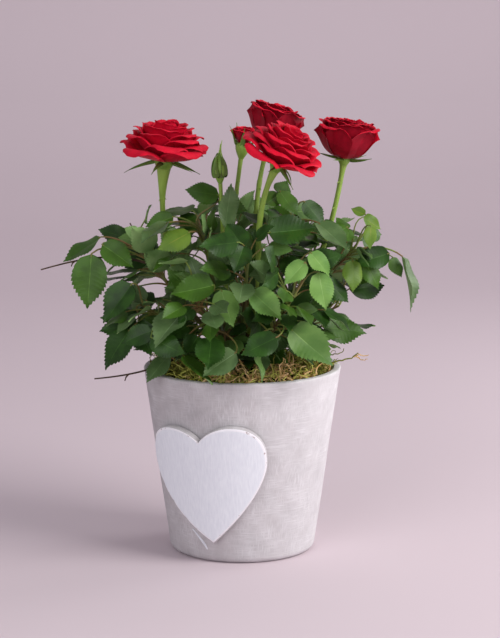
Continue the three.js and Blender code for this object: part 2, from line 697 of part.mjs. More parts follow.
// Heart: a thick plaque bent to the pot's wall, made of rings that shrink to its middle.
function bend(keys, t) {
  const k = 1 - t;
  const shares = [k * k * k, 3 * k * k * t, 3 * k * t * t, t * t * t];
  return [0, 1].map((axis) => keys.reduce((sum, key, i) => sum + key[axis] * shares[i], 0));
}

// The share of the way round runs from the cleft over the right lobe to the tip, and back.
function heartOutline(share) {
  const down = 1 - Math.abs(1 - 2 * share);
  const [x, y] = down < 0.5 ? bend(HEART_LOBE, down * 2) : bend(HEART_FLANK, down * 2 - 1);
  return [share <= 0.5 ? x : -x, y];
}

function onWall(sideways, upward, out) {
  const tilt = radians(HEART_TILT);
  const x = sideways * Math.cos(tilt) - upward * Math.sin(tilt);
  const height = HEART_MIDDLE + sideways * Math.sin(tilt) + upward * Math.cos(tilt);
  const radius = wallRadius(height) + out;
  const turn = radians(HEART_BEARING) + x / wallRadius(HEART_MIDDLE);
  return [radius * Math.cos(turn), radius * Math.sin(turn), height];
}

function shrinkingShares(rings) {
  return Array.from({ length: rings - 1 }, (_, i) => 1 - (i + 1) / rings);
}

function heartSolid() {
  const face = HEART_THICK + HEART_SEAT;
  const rings = [
    ...shrinkingShares(HEART_BACK_RINGS).reverse().map((share) => [share, HEART_SEAT]),
    [1, HEART_SEAT],
    [1, face - HEART_EDGE],
    [HEART_FACE_SHARE, face],
    ...shrinkingShares(HEART_FACE_RINGS).map((share) => [share, face]),
  ];
  const points = [onWall(0, 0, HEART_SEAT)];
  rings.forEach(([share, out]) => {
    for (let k = 0; k < HEART_POINTS; k += 1) {
      const [x, y] = heartOutline(k / HEART_POINTS);
      points.push(onWall(x * share, y * share, out));
    }
  });
  points.push(onWall(0, 0, face));
  return solid(points, ringFaces(rings.length, HEART_POINTS));
}

function ringFaces(rings, sides) {
  const faces = [];
  const last = 1 + (rings - 1) * sides;
  for (let k = 0; k < sides; k += 1) {
    const next = (k + 1) % sides;
    faces.push([0, 1 + k, 1 + next]);
    faces.push([1 + rings * sides, last + next, last + k]);
    for (let i = 0; i + 1 < rings; i += 1) {
      const a = 1 + i * sides + k;
      const b = 1 + i * sides + next;
      faces.push([a, b + sides, b], [a, a + sides, b + sides]);
    }
  }
  return faces;
}

// Stock: the short woody stem all canes and boughs spring from.
function stockSolid() {
  const bottom = SOIL_TOP + SEAT_GAP;
  const outline = [];
  for (let i = 0; i < STOCK_ROWS; i += 1) {
    const share = i / (STOCK_ROWS - 1);
    const swell = 1.2 * Math.max(0, 1 - share * 3);
    outline.push([STOCK_RADIUS - 0.2 * share + swell, mix(bottom, STOCK_TOP - 3, share)]);
  }
  outline.push([STOCK_RADIUS * 0.8, STOCK_TOP - 1]);
  return solidOf(spun(outline, STOCK_SIDES, bottom, STOCK_TOP));
}

// Leaf: one closed skin. The stalk is three-sided; each leaflet grows out of it as a thin pointed
// blade with a keel for its midrib, the end one from the stalk's end, side ones from its flanks.
function stalkRing(centre, along, normal, radius) {
  const face = across(along, normal);
  const side = cross(face, along);
  const top = add(centre, times(face, radius * 0.5));
  const spread = times(side, radius * Math.sqrt(0.75));
  return [add(top, spread), sub(top, spread), sub(centre, times(face, radius))];
}

function bladeRing(blade, share, breadth, fullness) {
  const wide = blade.long * LEAFLET_WIDTH / 2 * breadth;
  const middle = add(blade.base, times(blade.along, blade.long * share));
  const keel = sub(middle, times(blade.face, LEAFLET_THICK * fullness));
  return [add(middle, times(blade.side, wide)), sub(middle, times(blade.side, wide)), keel];
}

function stalkMarks(marks) {
  const rows = [0];
  marks.forEach((t) => rows.push((rows[rows.length - 1] + t) / 2, t));
  if (marks.length === 0) rows.push(0.5);
  rows.push(1);
  return rows;
}

function leafSolid(made) {
  const points = [];
  const faces = [];
  const ring = (three) => points.push(...three) - 3;
  const join = (a, b, gaps = []) => {
    for (let k = 0; k < 3; k += 1) {
      if (gaps.includes(k)) continue;
      const next = (k + 1) % 3;
      faces.push([a + k, a + next, b + next], [a + k, b + next, b + k]);
    }
  };
  const finish = (from, blade) => {
    const wide = ring(bladeRing(blade, ...BLADE_FAR));
    join(from, wide);
    const tip = points.push(add(blade.base, times(blade.along, blade.long))) - 1;
    for (let k = 0; k < 3; k += 1) faces.push([wide + k, wide + (k + 1) % 3, tip]);
  };
  const growSide = (root, blade) => {
    const near = ring(bladeRing(blade, ...BLADE_NEAR));
    const [left, right, keel] = [near, near + 1, near + 2];
    faces.push([root[0], root[1], right], [root[0], right, left], [root[1], root[2], keel]);
    faces.push([root[1], keel, right], [root[2], root[3], keel]);
    faces.push([root[3], root[0], left], [root[3], left, keel]);
    finish(near, blade);
  };

  const step = PAIR_FOOT / 2 / size(sub(made.path[3], made.path[0]));
  let last = ring(stalkRing(made.path[0], way(made.path, 0), made.normal, STALK_FOOT));
  faces.push([last, last + 2, last + 1]);
  stalkMarks(made.marks).slice(1).forEach((t) => {
    const radius = mix(STALK_FOOT, STALK_TIP, t);
    const pair = made.marks.length - 1 - made.marks.indexOf(t);
    const isPair = made.marks.includes(t);
    for (const place of isPair ? [t - step, t + step] : [t]) {
      const next = ring(stalkRing(point(made.path, place), way(made.path, place), made.normal, radius));
      const opens = isPair && place > t;
      join(last, next, opens ? [1, 2] : []);
      if (opens) {
        growSide([last, next, next + 2, last + 2], made.blades[1 + pair * 2]);
        growSide([next + 1, last + 1, last + 2, next + 2], made.blades[2 + pair * 2]);
      }
      last = next;
    }
  });
  const near = ring(bladeRing(made.blades[0], ...BLADE_NEAR));
  join(last, near);
  finish(near, made.blades[0]);
  return solid(points, faces);
}

function massSolid(path, leaves) {
  const from = SHOOT_ENTRY + LIMB_GAP / (3 * size(slope(path, SHOOT_ENTRY)));
  const stem = limbTube(path, from, 1, SHOOT_ROWS, SHOOT_RADIUS, SHOOT_POINT, SHOOT_SIDES);
  return wholeBody([stem, ...leaves.map(leafSolid)]);
}

// Petal: a thin keeled blade on a bent spine, bent round the bloom's axis like a staved bowl.
function petalSolid(bloom, i, up, side, place) {
  const share = (i + 0.5) / bloom.petals;
  const radial = turnedAbout(side, up, GOLDEN_ANGLE * i);
  const tangent = cross(up, radial);
  const start = mix(PETAL_TIGHT, bloom.start, Math.pow(share, 0.7));
  const open = mix(PETAL_TIGHT, bloom.open, Math.pow(share, 0.8));
  const long = mix(bloom.inner, bloom.outer, share);
  let away = 2 + 1.5 * share;
  let high = HIP_TALL - 1.5 * share;
  let before = 0;
  const points = [];
  PETAL_ROWS.forEach(([reach, breadth]) => {
    const middle = (before + reach) / 2;
    const lean = radians(mix(start, open, middle) + bloom.reflex * share * middle * middle);
    away += Math.sin(lean) * (reach - before) * long;
    high += Math.cos(lean) * (reach - before) * long;
    before = reach;
    const half = Math.min(1.2, long * PETAL_BREADTH / 2 * breadth / away);
    const spot = (turn, out) => {
      const spread = add(times(radial, Math.cos(turn)), times(tangent, Math.sin(turn)));
      const level = add(place, times(up, high - out * Math.sin(lean)));
      return add(level, times(spread, away + out * Math.cos(lean)));
    };
    const thick = PETAL_THICK / 2 * (reach === 1 ? 0.4 : 1);
    points.push(spot(-half, 0), spot(0, thick), spot(half, 0), spot(0, -thick));
  });
  return solid(points, keeledFaces(PETAL_ROWS.length));
}

// Rings of four: edge, face, edge, back. The face and the back are cut along like diagonals, so the
// two sides of a bent petal stay parallel.
function keeledFaces(rows) {
  const last = (rows - 1) * 4;
  const faces = [[0, 2, 1], [0, 3, 2], [last, last + 1, last + 2], [last, last + 2, last + 3]];
  for (let i = 0; i + 1 < rows; i += 1) {
    for (let k = 0; k < 4; k += 1) {
      const a = i * 4 + k;
      const b = i * 4 + (k + 1) % 4;
      if (k < 2) faces.push([a, b, b + 4], [a, b + 4, a + 4]);
      else faces.push([a, b, a + 4], [b, b + 4, a + 4]);
    }
  }
  return faces;
}

function lens(points, rim) {
  const faces = [];
  for (let k = 0; k < rim; k += 1) {
    const next = (k + 1) % rim;
    faces.push([rim, k, next], [rim + 1, next, k]);
  }
  return solid(points, faces);
}

// Sepals spread from the top of the hip: lifted on buds, hanging on open blooms.
function sepalPieces(up, side, place, count, long, open, height, start) {
  const pieces = [];
  for (let i = 0; i < count; i += 1) {
    const radial = turnedAbout(side, up, 360 * i / count + 20);
    const lean = radians(open);
    const along = add(times(radial, Math.sin(lean)), times(up, Math.cos(lean)));
    const root = add(place, add(times(up, height), times(radial, start)));
    const sideways = cross(up, radial);
    const face = cross(along, sideways);
    const rim = [[0, 0], [0.35, 1], [1, 0], [0.35, -1]].map(([share, breadth]) => (
      add(add(root, times(along, long * share)), times(sideways, -breadth * SEPAL_WIDE / 2))));
    const middle = add(root, times(along, long * 0.25));
    rim.push(sub(middle, times(face, SEPAL_THICK / 2)), add(middle, times(face, SEPAL_THICK / 2)));
    pieces.push(lens(rim, 4));
  }
  return pieces;
}

function bloomFrame(name) {
  const { tip, lean } = CANES[name];
  const up = toward(lean[0], 90 - lean[1]);
  return { up, side: across(up, [1, 0.2, 0.1]), place: add(tip, times(up, LIMB_GAP)) };
}

function bloomSolid(name, bloom) {
  const { up, side, place } = bloomFrame(name);
  const neck = CANES[name].neck;
  const [radius, tall] = bloom.heart;
  const outline = [[neck, 0], [HIP_RADIUS * 0.75, HIP_TALL * 0.5], [HIP_RADIUS, HIP_TALL],
    [radius, tall * 0.5], [radius * 0.95, tall * 0.78], [radius * 0.5, tall * 0.97]];
  const heart = solidOf(placed(spun(outline, HIP_SIDES, 0, tall), place, up));
  const petals = Array.from({ length: bloom.petals }, (_, i) => petalSolid(bloom, i, up, side, place));
  const sepals = sepalPieces(up, side, place, SEPALS, SEPAL_LONG, 108, HIP_TALL - 1, HIP_RADIUS - 2);
  return wholeBody([heart, ...petals, ...sepals]);
}

function budSolid(name, bud) {
  const { up, side, place } = bloomFrame(name);
  const shape = placed(spun(bud.outline, BUD_SIDES, 0, bud.top), place, up);
  const sepals = sepalPieces(up, side, place, bud.sepals, bud.reach, bud.spread, 3.2, 1.2);
  const petals = Array.from({ length: bud.petals ?? 0 }, (_, i) => (
    petalSolid(bud, i, up, side, place)));
  return wholeBody([solidOf(shape), ...sepals, ...petals]);
}

// Meshes
function meshOf(name, body, look) {
  const { vertProperties, triVerts } = body.getMesh();
  const geometry = new THREE.BufferGeometry();
  geometry.setAttribute('position', new THREE.BufferAttribute(new Float32Array(vertProperties), 3));
  geometry.setIndex(new THREE.BufferAttribute(new Uint32Array(triVerts), 1));
  const whole = mergeVertices(geometry, 1e-4);
  whole.computeVertexNormals();
  const { color, roughness } = MATERIALS[look];
  const mesh = new THREE.Mesh(whole, new THREE.MeshStandardMaterial({ color, roughness, metalness: 0 }));
  mesh.name = name;
  return mesh;
}

function buildRose() {
  const rose = new THREE.Group();
  rose.name = 'potted_garden_rose';
  const { canes, shoots, masses } = growCrown();
  const put = (name, body, look) => rose.add(meshOf(name, body, look));

  put('pot', potSolid(), 'pot');
  put('heart_plaque', heartSolid(), 'heart');
  put('potting_soil', soilSolid(), 'soil');
  put('moss_cover', mossSolid(), 'moss');
  put('base_stem', stockSolid(), 'stock');
  for (const [name, path] of Object.entries(canes)) {
    const { foot, neck } = CANES[name];
    put(`cane_${name}`, limbTube(path, 0, 1, CANE_ROWS, foot, neck, CANE_SIDES), 'cane');
  }
  for (const [name, path] of Object.entries(shoots)) {
    const bough = limbTube(path, 0, SHOOT_ENTRY, BOUGH_ROWS, BOUGH_FOOT, BOUGH_NECK, CANE_SIDES);
    put(`bough_${name}`, bough, 'cane');
    put(`foliage_${name}`, massSolid(path, masses[name]), 'leaf');
  }
  for (const [name, bloom] of Object.entries(BLOOMS)) put(name, bloomSolid(name, bloom), 'petal');
  put('closed_bud', budSolid('closed_bud', CLOSED_BUD), 'bud');
  put('opening_bud', budSolid('opening_bud', OPENING_BUD), 'petal');
  return rose;
}

export default buildRose();
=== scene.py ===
# Potted patio rose: a bushy garden rose with red blooms in a whitewashed cement pot.
# Metres in Blender. Sizes of the plant are written in millimetres, as in the part's source.
import math
import random

import bpy
import numpy as np
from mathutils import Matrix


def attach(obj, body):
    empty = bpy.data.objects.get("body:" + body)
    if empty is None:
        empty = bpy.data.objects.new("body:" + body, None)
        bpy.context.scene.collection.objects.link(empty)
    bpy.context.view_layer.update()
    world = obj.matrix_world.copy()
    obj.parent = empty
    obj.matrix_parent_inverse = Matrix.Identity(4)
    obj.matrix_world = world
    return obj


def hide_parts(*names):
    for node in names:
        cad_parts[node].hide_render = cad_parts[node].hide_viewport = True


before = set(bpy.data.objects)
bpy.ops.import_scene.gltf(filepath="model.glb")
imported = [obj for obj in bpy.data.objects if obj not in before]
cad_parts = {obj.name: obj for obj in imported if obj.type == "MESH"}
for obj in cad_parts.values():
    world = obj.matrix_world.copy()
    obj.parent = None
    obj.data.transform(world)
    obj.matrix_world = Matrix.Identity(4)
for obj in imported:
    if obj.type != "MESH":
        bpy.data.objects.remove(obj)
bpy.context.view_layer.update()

MM = 0.001

# Camera, fitted to the pot's rim and foot in the photograph
CAMERA_PLACE = (0.0059, -1.645, 0.4559)
CAMERA_PITCH = 9.64
CAMERA_LENS = 124.1

# Pot and what fills it
POT_HEIGHT = 141
RIM_RADIUS = 75
FOOT_RADIUS = 55
POT_WALL = 5.5
POT_FLOOR = 12
FOOT_ROUND = 6
RIM_ROUND = 1.2
SOIL_TOP = 120
MOSS_EDGE = 134
MOSS_CROWN = 143
MOSS_LUMP = 1.3
MOSS_HOLE = 9.6
SEAT_GAP = 0.3

# Heart plaque bent round the pot; half its outline runs from the cleft over a lobe to the widest
# place, and from there down a flank to the tip
HEART_WIDTH = 88
HEART_LOBE = ((0, 35), (13, 52), (HEART_WIDTH / 2, 50), (HEART_WIDTH / 2, 20))
HEART_FLANK = ((HEART_WIDTH / 2, 20), (HEART_WIDTH / 2 + 1, -3), (18, -31), (0, -44.6))
HEART_THICK = 6
HEART_BEARING = 247.3
HEART_MIDDLE = 61.5
HEART_TILT = 5
HEART_SEAT = 0.85

# Stock, canes and boughs
STOCK_TOP = 174
STOCK_RADIUS = 8
LIMB_GAP = 0.3
BOUGH_FOOT = 2.4
BOUGH_NECK = 1.9
SHOOT_POINT = 0.8
SHOOT_ENTRY = 0.30
FILL_FROM = 0.34
CURVE_HANDLE = 0.36

# Boxes that keep limbs and leaves apart while the crown grows
CANE_BOXES = 12
BOUGH_BOXES = 3
STEM_BOXES = 6
STALK_BOXES = 4
STALK_BOX_FROM = 0.06
STEM_ROOM = 1.9
STALK_ROOM = 0.8
BLADE_ROOM = 0.9
BLADE_BOXES = ((0.5, 0.5, 0.55), (0.46, 0.28, 1))
BLOOM_BOX_SHARE = 0.85
BLOOM_BOX_LIFT = 2

# Leaves
GOLDEN_ANGLE = 137.508
FACE_RISE = 30
CROWN_TOP = 286
CROWN_FALL = 0.36
CROWN_RADIUS = 112

# Gaps that show through the whole crown from the front: middle (x and height), half width and
# half height. The line of sight falls by a sixth on its way back.
SIGHT_FALL = 0.17
SKY_GAPS = ((-68, 204, 13, 9), (-28, 222, 11, 7), (-30, 179, 7, 9), (31, 242, 13, 6), (103, 186, 24, 14),
            (92, 143, 20, 20), (-70, 144, 9, 7), (-80, 167, 7, 9), (82, 184, 13, 5))
GAP_PLACES = (0, 0.35, 0.7, 1)
RIM_CLEAR = 3
LOWEST_LEAF = 128
LEAFLET_WIDTH = 0.66
PAIR_SPACING = 0.50
PAIR_ANGLE = 58
PAIR_DROOP = 0.15
PAIR_CLIMB = 0.2
PAIR_SIZES = (0.88, 0.72)
PAIR_FIRST = (0.34, 0.14)
PAIR_BACK = 0.22
PAIR_DIP = 0.10
BLADE_WIDEST = 0.45
ATTEMPTS = 20
ONE_PAIR_AFTER = 7
NO_PAIR_AFTER = 12
NUDGES = ((0, 0, 0), (0, -5, 0), (0, 5, 0), (0, -10, 0), (0, 10, 0), (0, -15, 0), (0, 0, 5), (0, 15, 0),
          (0, 0, -5))

# Seeded leaves: chance in place and turn along the shoot, how far the stalk opens from it, how
# much it is drawn outward and up, its length, how the end leaflet hangs and rolls, and its length.
SEEDED = dict(slide=0.08, retry=0.31, swing=25, open=(45, 75), outward=0.45, lift=0.12,
              stalk=(16, 38), spread=0.3, hang=(0.1, 0.9), face_out=0.85, face_up=0.6, roll=30,
              long=(22, 31), longer=6, two_pairs=0.6)

# Canes run whole from the stock to a bloom or bud: bearing and height on the stock,
# the climb they start with, where they end, and how they lean there (bearing, off upright).
CANES = {
    "left_bloom": dict(
        bearing=172, height=168, climb=22, tip=(-58.5, -10, 292), lean=(350, 6), foot=2.3, neck=1.9),
    "front_bloom": dict(
        bearing=300, height=168, climb=50, tip=(23.5, -40, 293), lean=(345, 28), foot=2.4, neck=1.9),
    "back_bloom": dict(
        bearing=68, height=168, climb=60, tip=(19, 34, 303), lean=(8, 17), foot=2.2, neck=1.7),
    "right_bloom": dict(
        bearing=8, height=168, climb=25, tip=(76, 5, 293), lean=(352, 9), foot=2.3, neck=1.8),
    "closed_bud": dict(
        bearing=240, height=168, climb=60, tip=(-16, -30, 283), lean=(200, 4), foot=1.9, neck=1.4),
    "opening_bud": dict(
        bearing=118, height=168, climb=70, tip=(-1, 10, 297), lean=(10, 8), foot=2.0, neck=1.6),
}
BLOOM_ROOM = {
    "left_bloom": (37, 33), "front_bloom": (34, 33), "back_bloom": (24, 34), "right_bloom": (25, 33),
    "closed_bud": (8, 40), "opening_bud": (11, 34),
}

# Shoots: a bough from the stock that runs on as the stem of one mass of leaves. Their own leaves
# give the crown its outline: place on the shoot, end of the leaf's stalk, heading (bearing, rise),
# bearing the upper side looks to, size of the end leaflet, number of side pairs, and tone.
SHOOTS = {
    "left_upper": dict(
        bearing=186, height=159, climb=25, tip=(-80, -12, 232), lean=(185, 50), seed=3, fill=14,
        leaves=(
            (0.84, (-112, -26, 230), (248, -78), 262, 41, 0, "bright"),
            (1.0, (-106, -6, 240), (187, -26), 200, 34, 0, "mid"),
            (0.95, (-104, -16, 237), (336, -27), 262, 29, 0, "bright"),
            (0.9, (-86, -2, 237), (187, 19), 235, 24, 0, "dark"))),
    "left_lower": dict(
        bearing=212, height=149, climb=10, tip=(-76, -28, 192), lean=(200, 65), seed=11, fill=14,
        leaves=(
            (0.92, (-81, -36, 210), (199, -47), 250, 36, 0, "dark"),
            (0.75, (-83, -42, 176), (207, -50), 245, 35, 1, "dark"),
            (1.0, (-80, -12, 178), (186, 6), 240, 27, 0, "dark"))),
    "front_left": dict(
        bearing=252, height=149, climb=8, tip=(-34, -62, 200), lean=(245, 55), seed=23, fill=17,
        leaves=(
            (0.95, (-20, -68, 213), (195, -7), 262, 32, 0, "bright"),
            (0.85, (-15, -74, 209), (302, -58), 275, 29, 0, "pale"),
            (0.4, (-4, -82, 166), (207, -25), 265, 30, 0, "blue"),
            (0.55, (-43, -76, 163), (332, -32), 333, 32, 0, "bright"),
            (0.78, (-66, -66, 176), (337, -23), 240, 28, 1, "dark"))),
    "front_right": dict(
        bearing=290, height=149, climb=8, tip=(38, -62, 204), lean=(290, 55), seed=31, fill=16,
        leaves=(
            (0.62, (35, -74, 182), (343, -34), 275, 41, 0, "soft"),
            (0.95, (56, -58, 221), (302, -69), 285, 28, 0, "pale"),
            (0.9, (46, -62, 229), (212, -38), 275, 23, 0, "pale"),
            (0.85, (50, -54, 235), (322, -36), 290, 23, 0, "pale"),
            (0.35, (9, -82, 168), (315, -57), 350, 25, 0, "soft"),
            (0.5, (26, -70, 178), (196, -22), 262, 30, 0, "dark"),
            (0.8, (7, -72, 209), (336, -35), 275, 30, 0, "pale"))),
    "front_top": dict(
        bearing=270, height=159, climb=38, tip=(4, -50, 232), lean=(270, 30), seed=37, fill=13,
        leaves=(
            (0.9, (-2, -50, 244), (196, -2), 250, 30, 1, "dark"),)),
    "right_lower": dict(
        bearing=330, height=149, climb=10, tip=(72, -22, 190), lean=(350, 65), seed=41, fill=15,
        leaves=(
            (0.85, (60, -28, 176), (7, -6), 300, 34, 0, "mid"),
            (0.75, (62, -34, 212), (346, -43), 290, 24, 0, "dark"))),
    "right_upper": dict(
        bearing=354, height=159, climb=25, tip=(84, -8, 230), lean=(355, 50), seed=53, fill=14,
        leaves=(
            (1.0, (120, -10, 226), (332, -67), 350, 42, 0, "blue"),
            (0.97, (113, -12, 225), (330, -62), 290, 17, 0, "soft"),
            (0.9, (110, -6, 229), (200, -12), 275, 28, 0, "dark"),
            (0.92, (91, -4, 255), (9, -33), 290, 17, 0, "young"),
            (0.88, (93, -2, 256), (168, 22), 280, 12, 0, "young"),
            (0.96, (96, -8, 250), (276, -78), 300, 18, 0, "young"),
            (0.8, (82, -30, 226), (279, -68), 290, 24, 0, "young"),
            (0.85, (92, -20, 222), (350, -56), 280, 22, 0, "bright"),
            (0.62, (78, -24, 250), (217, -20), 270, 17, 1, "bright"))),
    "top_left": dict(
        bearing=234, height=159, climb=45, tip=(-34, -18, 254), lean=(215, 25), seed=61, fill=14,
        leaves=(
            (1.0, (-17, -24, 273), (194, 12), 250, 26, 1, "mid"),
            (0.8, (-12, -38, 255), (38, 79), 330, 34, 0, "blue"),
            (0.7, (-38, -46, 249), (203, -24), 262, 27, 0, "young"),
            (0.9, (-51, -20, 257), (190, -16), 265, 22, 0, "bright"))),
    "top_right": dict(
        bearing=310, height=159, climb=45, tip=(38, -12, 251.5), lean=(330, 25), seed=71, fill=14,
        leaves=(
            (1.0, (28, -16, 276), (324, -45), 300, 24, 1, "mid"),
            (0.8, (19, -50, 249), (4, 8), 285, 36, 0, "dark"),
            (0.95, (46, -14, 268), (340, -44), 295, 24, 0, "dark"))),
    "back_left": dict(
        bearing=146, height=159, climb=20, tip=(-58, 54, 222), lean=(135, 55), seed=83, fill=15,
        leaves=()),
    "back_right": dict(
        bearing=40, height=159, climb=20, tip=(58, 54, 222), lean=(45, 55), seed=97, fill=15,
        leaves=()),
    "back_low": dict(
        bearing=94, height=149, climb=8, tip=(4, 80, 190), lean=(92, 65), seed=101, fill=16,
        leaves=()),
    "back_top": dict(
        bearing=95, height=159, climb=45, tip=(-8, 44, 250), lean=(90, 20), seed=113, fill=13,
        leaves=()),
}

# Tones that the seeded leaves draw from; one that is named more often comes more often
TONES = ("dark", "dark", "dark", "mid", "mid", "bright", "soft", "blue")

# The finer growth that fills the crown: small leaves on short stalks, close to the shoots
FINER = dict(SEEDED, open=(35, 85), outward=0.15, stalk=(8, 26), long=(15, 23), longer=3, two_pairs=0.45)
FINER_COUNT = 40
FINER_SEED = 1000
FINER_ROOM = 0.55
FINER_FROM = 0.12


# Vectors are numpy triples in millimetres.
def vec(*values):
    return np.array(values, float)


def size(a):
    return math.sqrt(a[0] * a[0] + a[1] * a[1] + a[2] * a[2])


def unit(a):
    return a / size(a)


def cross(a, b):
    return vec(a[1] * b[2] - a[2] * b[1], a[2] * b[0] - a[0] * b[2], a[0] * b[1] - a[1] * b[0])


def dot(a, b):
    return a[0] * b[0] + a[1] * b[1] + a[2] * b[2]


def flat(a):
    return math.hypot(a[0], a[1])


def mix(a, b, share):
    return a + (b - a) * share


def toward(bearing, rise):
    b, r = math.radians(bearing), math.radians(rise)
    return vec(math.cos(b) * math.cos(r), math.sin(b) * math.cos(r), math.sin(r))


def across(direction, wanted):
    """The unit vector nearest to the wanted one that is square to a direction."""
    return unit(wanted - direction * dot(wanted, direction))


def turned_about(v, axis, degrees):
    a = math.radians(degrees)
    return v * math.cos(a) + cross(axis, v) * math.sin(a) + axis * (dot(axis, v) * (1 - math.cos(a)))


def outward(p):
    r = flat(p)
    return vec(p[0] / r, p[1] / r, 0) if r > 1 else vec(0, -1, 0)


def seeded(seed):
    state = [seed]

    def draw(low, high):
        state[0] = (state[0] * 1664525 + 1013904223) % 4294967296
        return low + (high - low) * state[0] / 4294967296

    return draw


# Limb curves are cubic: they leave and arrive along given directions.
def curve(start, start_way, end, end_way):
    span = size(end - start) * CURVE_HANDLE
    return (start, start + start_way * span, end - end_way * span, end)


def point(path, t):
    k = 1 - t
    return (path[0] * (k * k * k) + path[1] * (3 * k * k * t) + path[2] * (3 * k * t * t)
            + path[3] * (t * t * t))


def way(path, t):
    k = 1 - t
    slope = (path[1] - path[0]) * (k * k) + (path[2] - path[1]) * (2 * k * t) + (path[3] - path[2]) * (t * t)
    return unit(slope)


def limb_path(limb):
    """A limb leaves the stock square to its own cut end, a hair clear of the bark."""
    climb = math.radians(limb["climb"])
    away = STOCK_RADIUS + LIMB_GAP + limb.get("foot", BOUGH_FOOT) * math.sin(climb)
    start = toward(limb["bearing"], 0) * away + vec(0, 0, limb["height"])
    bearing, lean = limb["lean"]
    return curve(start, toward(limb["bearing"], limb["climb"]), vec(*limb["tip"]), toward(bearing, 90 - lean))


# Slanted boxes stand for limbs, stalks and leaflets while the crown grows.
def slanted_box(centre, axes, half):
    return centre, np.array(axes), np.array(half, float)


def rod(a, b, radius):
    along = unit(b - a)
    side = across(along, vec(0.3, 0.2, 1) if abs(along[2]) < 0.9 else vec(1, 0.3, 0.2))
    return slanted_box((a + b) * 0.5, (along, side, cross(along, side)), (size(b - a) / 2, radius, radius))


def rods(path, start, end, steps, radius):
    marks = [point(path, start + (end - start) * i / steps) for i in range(steps + 1)]
    return [rod(a, b, radius) for a, b in zip(marks, marks[1:])]


class TakenRoom:
    """The boxes that are taken, kept as arrays so that one box is tried against all of them at once."""

    def __init__(self, most=20000):
        self.count = 0
        self.owners = np.zeros(most, int)
        self.blades = np.zeros(most, bool)
        self.centres = np.zeros((most, 3))
        self.axes = np.zeros((most, 3, 3))
        self.halves = np.zeros((most, 3))
        self.balls = np.zeros(most)

    def take(self, owner, is_blade, boxes):
        for centre, axes, half in boxes:
            i = self.count
            self.owners[i], self.blades[i] = owner, is_blade
            self.centres[i], self.axes[i], self.halves[i] = centre, axes, half
            self.balls[i] = size(half)
            self.count += 1

    def touched(self, box, owner=None):
        """Whether a box touches one that is taken; with an owner, its own stems and stalks don't count."""
        centre, axes, half = box
        n = self.count
        gaps = self.centres[:n] - centre
        near = (gaps * gaps).sum(axis=1) <= (self.balls[:n] + size(half)) ** 2
        if owner is not None:
            near &= (self.owners[:n] != owner) | self.blades[:n]
        rows = np.flatnonzero(near)
        if len(rows) == 0:
            return False
        theirs, gaps = self.axes[rows], gaps[rows]
        crossed = np.cross(axes[None, :, None, :], theirs[:, None, :, :]).reshape(len(rows), 9, 3)
        tries = np.concatenate([np.broadcast_to(axes, theirs.shape), theirs, crossed], axis=1)
        mine = np.abs(tries @ axes.T) @ half
        other = (np.abs(np.einsum("nai,nbi->nab", tries, theirs)) * self.halves[rows][:, None, :]).sum(axis=2)
        apart = np.abs(np.einsum("nai,ni->na", tries, gaps)) > mine + other
        apart &= np.linalg.norm(tries, axis=2) >= 1e-4
        return bool((~apart.any(axis=1)).any())


# Leaflets: a narrow box for the length and a wide one for the middle of the blade.
def leaflet(base, along, normal, long, room):
    face = across(along, normal)
    side = cross(face, along)
    wide = long * LEAFLET_WIDTH / 2
    axes = (along, side, face)
    boxes = [slanted_box(base + along * (long * middle), axes, (long * half, wide * breadth, room))
             for middle, half, breadth in BLADE_BOXES]
    return dict(base=base, along=along, side=side, face=face, long=long, boxes=boxes)


def leaf(root, root_way, end, along, normal, long, pairs, room=BLADE_ROOM):
    """A bent stalk with an end leaflet and side pairs that hang a little."""
    chord = unit(end - root)
    path = curve(root, unit(root_way + chord), end, unit(along + chord))
    reach = size(end - root)
    blades = [leaflet(end, along, normal, long, room)]
    opened = math.radians(PAIR_ANGLE)
    for i in range(pairs):
        t = max(PAIR_FIRST[i], 1 - long * (PAIR_BACK + PAIR_SPACING * i) / reach)
        tangent = way(path, t)
        side = unit(cross(normal, tangent))
        for sign in (1, -1):
            hung = tangent * math.cos(opened) + side * (sign * math.sin(opened))
            hung = hung - normal * PAIR_DIP - vec(0, 0, PAIR_DROOP)
            out = unit(vec(hung[0], hung[1], min(hung[2], PAIR_CLIMB)))
            blades.append(leaflet(point(path, t), out, normal, long * PAIR_SIZES[i], room))
    stalk = rods(path, STALK_BOX_FROM, 1, STALK_BOXES, min(STALK_ROOM, room))
    return dict(path=path, blades=blades, stalk=stalk, long=long)


def rim_points(blade):
    """The places of a leaflet that reach furthest: foot, tip and both flanks."""
    wide = blade["side"] * (blade["long"] * LEAFLET_WIDTH / 2)
    middle = blade["base"] + blade["along"] * (blade["long"] * BLADE_WIDEST)
    return (blade["base"], blade["base"] + blade["along"] * blade["long"], middle + wide, middle - wide)


def above_pot(made):
    for blade in made["blades"]:
        for p in rim_points(blade):
            lowest = MOSS_CROWN + RIM_CLEAR if flat(p) < RIM_RADIUS + RIM_CLEAR else LOWEST_LEAF
            if p[2] < lowest:
                return False
    return True


def in_sky_gap(p):
    height = p[2] + SIGHT_FALL * p[1]
    return any(math.hypot((p[0] - x) / wide, (height - z) / tall) < 1 for x, z, wide, tall in SKY_GAPS)


def leaves_gaps_open(made):
    return not any(in_sky_gap(blade["base"] + blade["along"] * (blade["long"] * share))
                   for blade in made["blades"] for share in GAP_PLACES)


def under_crown(made):
    for blade in made["blades"]:
        p = blade["base"] + blade["along"] * blade["long"]
        if p[2] > CROWN_TOP - CROWN_FALL * flat(p) or flat(p) > CROWN_RADIUS:
            return False
    return True


def bloom_frame(name):
    """Where a bloom or bud starts, its axis, and a side to count its petals from."""
    cane = CANES[name]
    up = toward(cane["lean"][0], 90 - cane["lean"][1])
    return vec(*cane["tip"]) + up * LIMB_GAP, up, across(up, vec(1, 0.2, 0.1))


